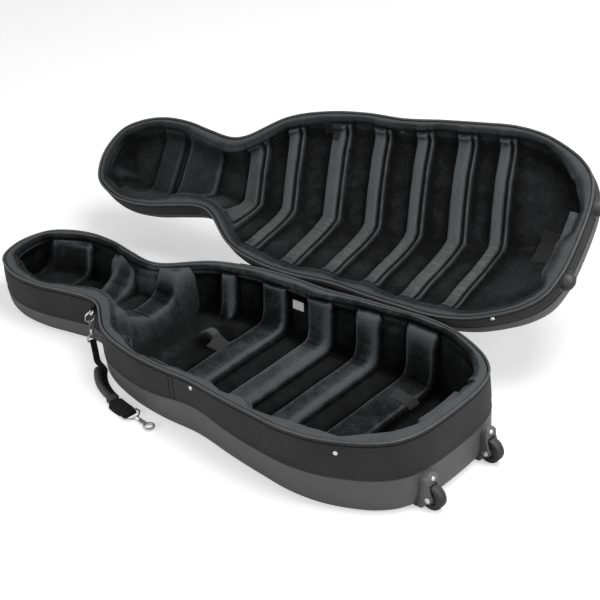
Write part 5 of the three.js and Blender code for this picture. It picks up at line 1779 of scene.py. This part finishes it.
WORLD_LIGHT = 0.12
WORLD_SEEN = 1.0
FLOOR_REACH = 30
FLOOR_DROP = 0.0005
FLOOR_TONE = 0.8
FLOOR_ROUGHNESS = 0.9
FLOOR_SHINE = 0.1
FLOOR_GLOW = 0.52


def make_world():
    """White where the camera or a mirrored ray sees it, and dim as a light."""
    world = bpy.data.worlds.new("studio")
    bpy.context.scene.world = world
    world.use_nodes = True
    tree = world.node_tree
    shade = tree.nodes["Background"]
    path = tree.nodes.new("ShaderNodeLightPath")
    seen = path.outputs["Is Camera Ray"]
    for ray in ("Is Glossy Ray", "Is Transmission Ray"):
        either = tree.nodes.new("ShaderNodeMath")
        either.operation = "MAXIMUM"
        tree.links.new(seen, either.inputs[0])
        tree.links.new(path.outputs[ray], either.inputs[1])
        seen = either.outputs[0]
    strength = tree.nodes.new("ShaderNodeMapRange")
    strength.inputs["To Min"].default_value = WORLD_LIGHT
    strength.inputs["To Max"].default_value = WORLD_SEEN
    tree.links.new(seen, strength.inputs["Value"])
    tree.links.new(strength.outputs[0], shade.inputs["Strength"])
    shade.inputs["Color"].default_value = (1, 1, 1, 1)


def make_floor():
    """A white sheet that glows a little, only where the camera sees it directly."""
    mesh = bpy.data.meshes.new("floor")
    corners = [(-1, -1), (1, -1), (1, 1), (-1, 1)]
    mesh.from_pydata([(x * FLOOR_REACH, y * FLOOR_REACH, 0) for x, y in corners], [], [(0, 1, 2, 3)])
    floor = placed_object("floor", mesh)
    floor.location.z = -FLOOR_DROP
    paper = Finish("white_floor", grey(FLOOR_TONE), FLOOR_ROUGHNESS, specular_ior_level=FLOOR_SHINE)
    seen = paper.node("ShaderNodeLightPath").outputs["Is Camera Ray"]
    glow = paper.node("ShaderNodeEmission")
    both = paper.node("ShaderNodeAddShader")
    paper.link(paper.times(seen, FLOOR_GLOW), glow.inputs["Strength"])
    paper.link(paper.shader.outputs["BSDF"], both.inputs[0])
    paper.link(glow.outputs["Emission"], both.inputs[1])
    paper.link(both.outputs["Shader"], paper.tree.nodes["Material Output"].inputs["Surface"])
    mesh.materials.append(paper.material)


LAMPS = [
    # name, place, aimed at, size, power
    ("overhead", (0.9, 0.5, 3.1), (0.1, 0, 0), (2.2, 1.8), 74),
    ("front_left", (-0.9, -3.3, 1.5), (0, 0, 0.1), (1.8, 1.4), 40),
    ("right_side", (3.3, 0.2, 1.9), (0.2, 0, 0.1), (1.4, 1.4), 40),
]


def lamp(name, at, towards, size, power):
    data = bpy.data.lights.new(name, "AREA")
    data.shape = "RECTANGLE"
    data.size, data.size_y = size
    data.energy = power
    made = placed_object(name, data)
    made.location = at
    made.rotation_mode = "QUATERNION"
    made.rotation_quaternion = (Vector(towards) - Vector(at)).to_track_quat("-Z", "Y")
    return made


make_camera()
make_world()
make_floor()
for lamp_settings in LAMPS:
    lamp(*lamp_settings)

bpy.context.scene.view_settings.view_transform = "Standard"
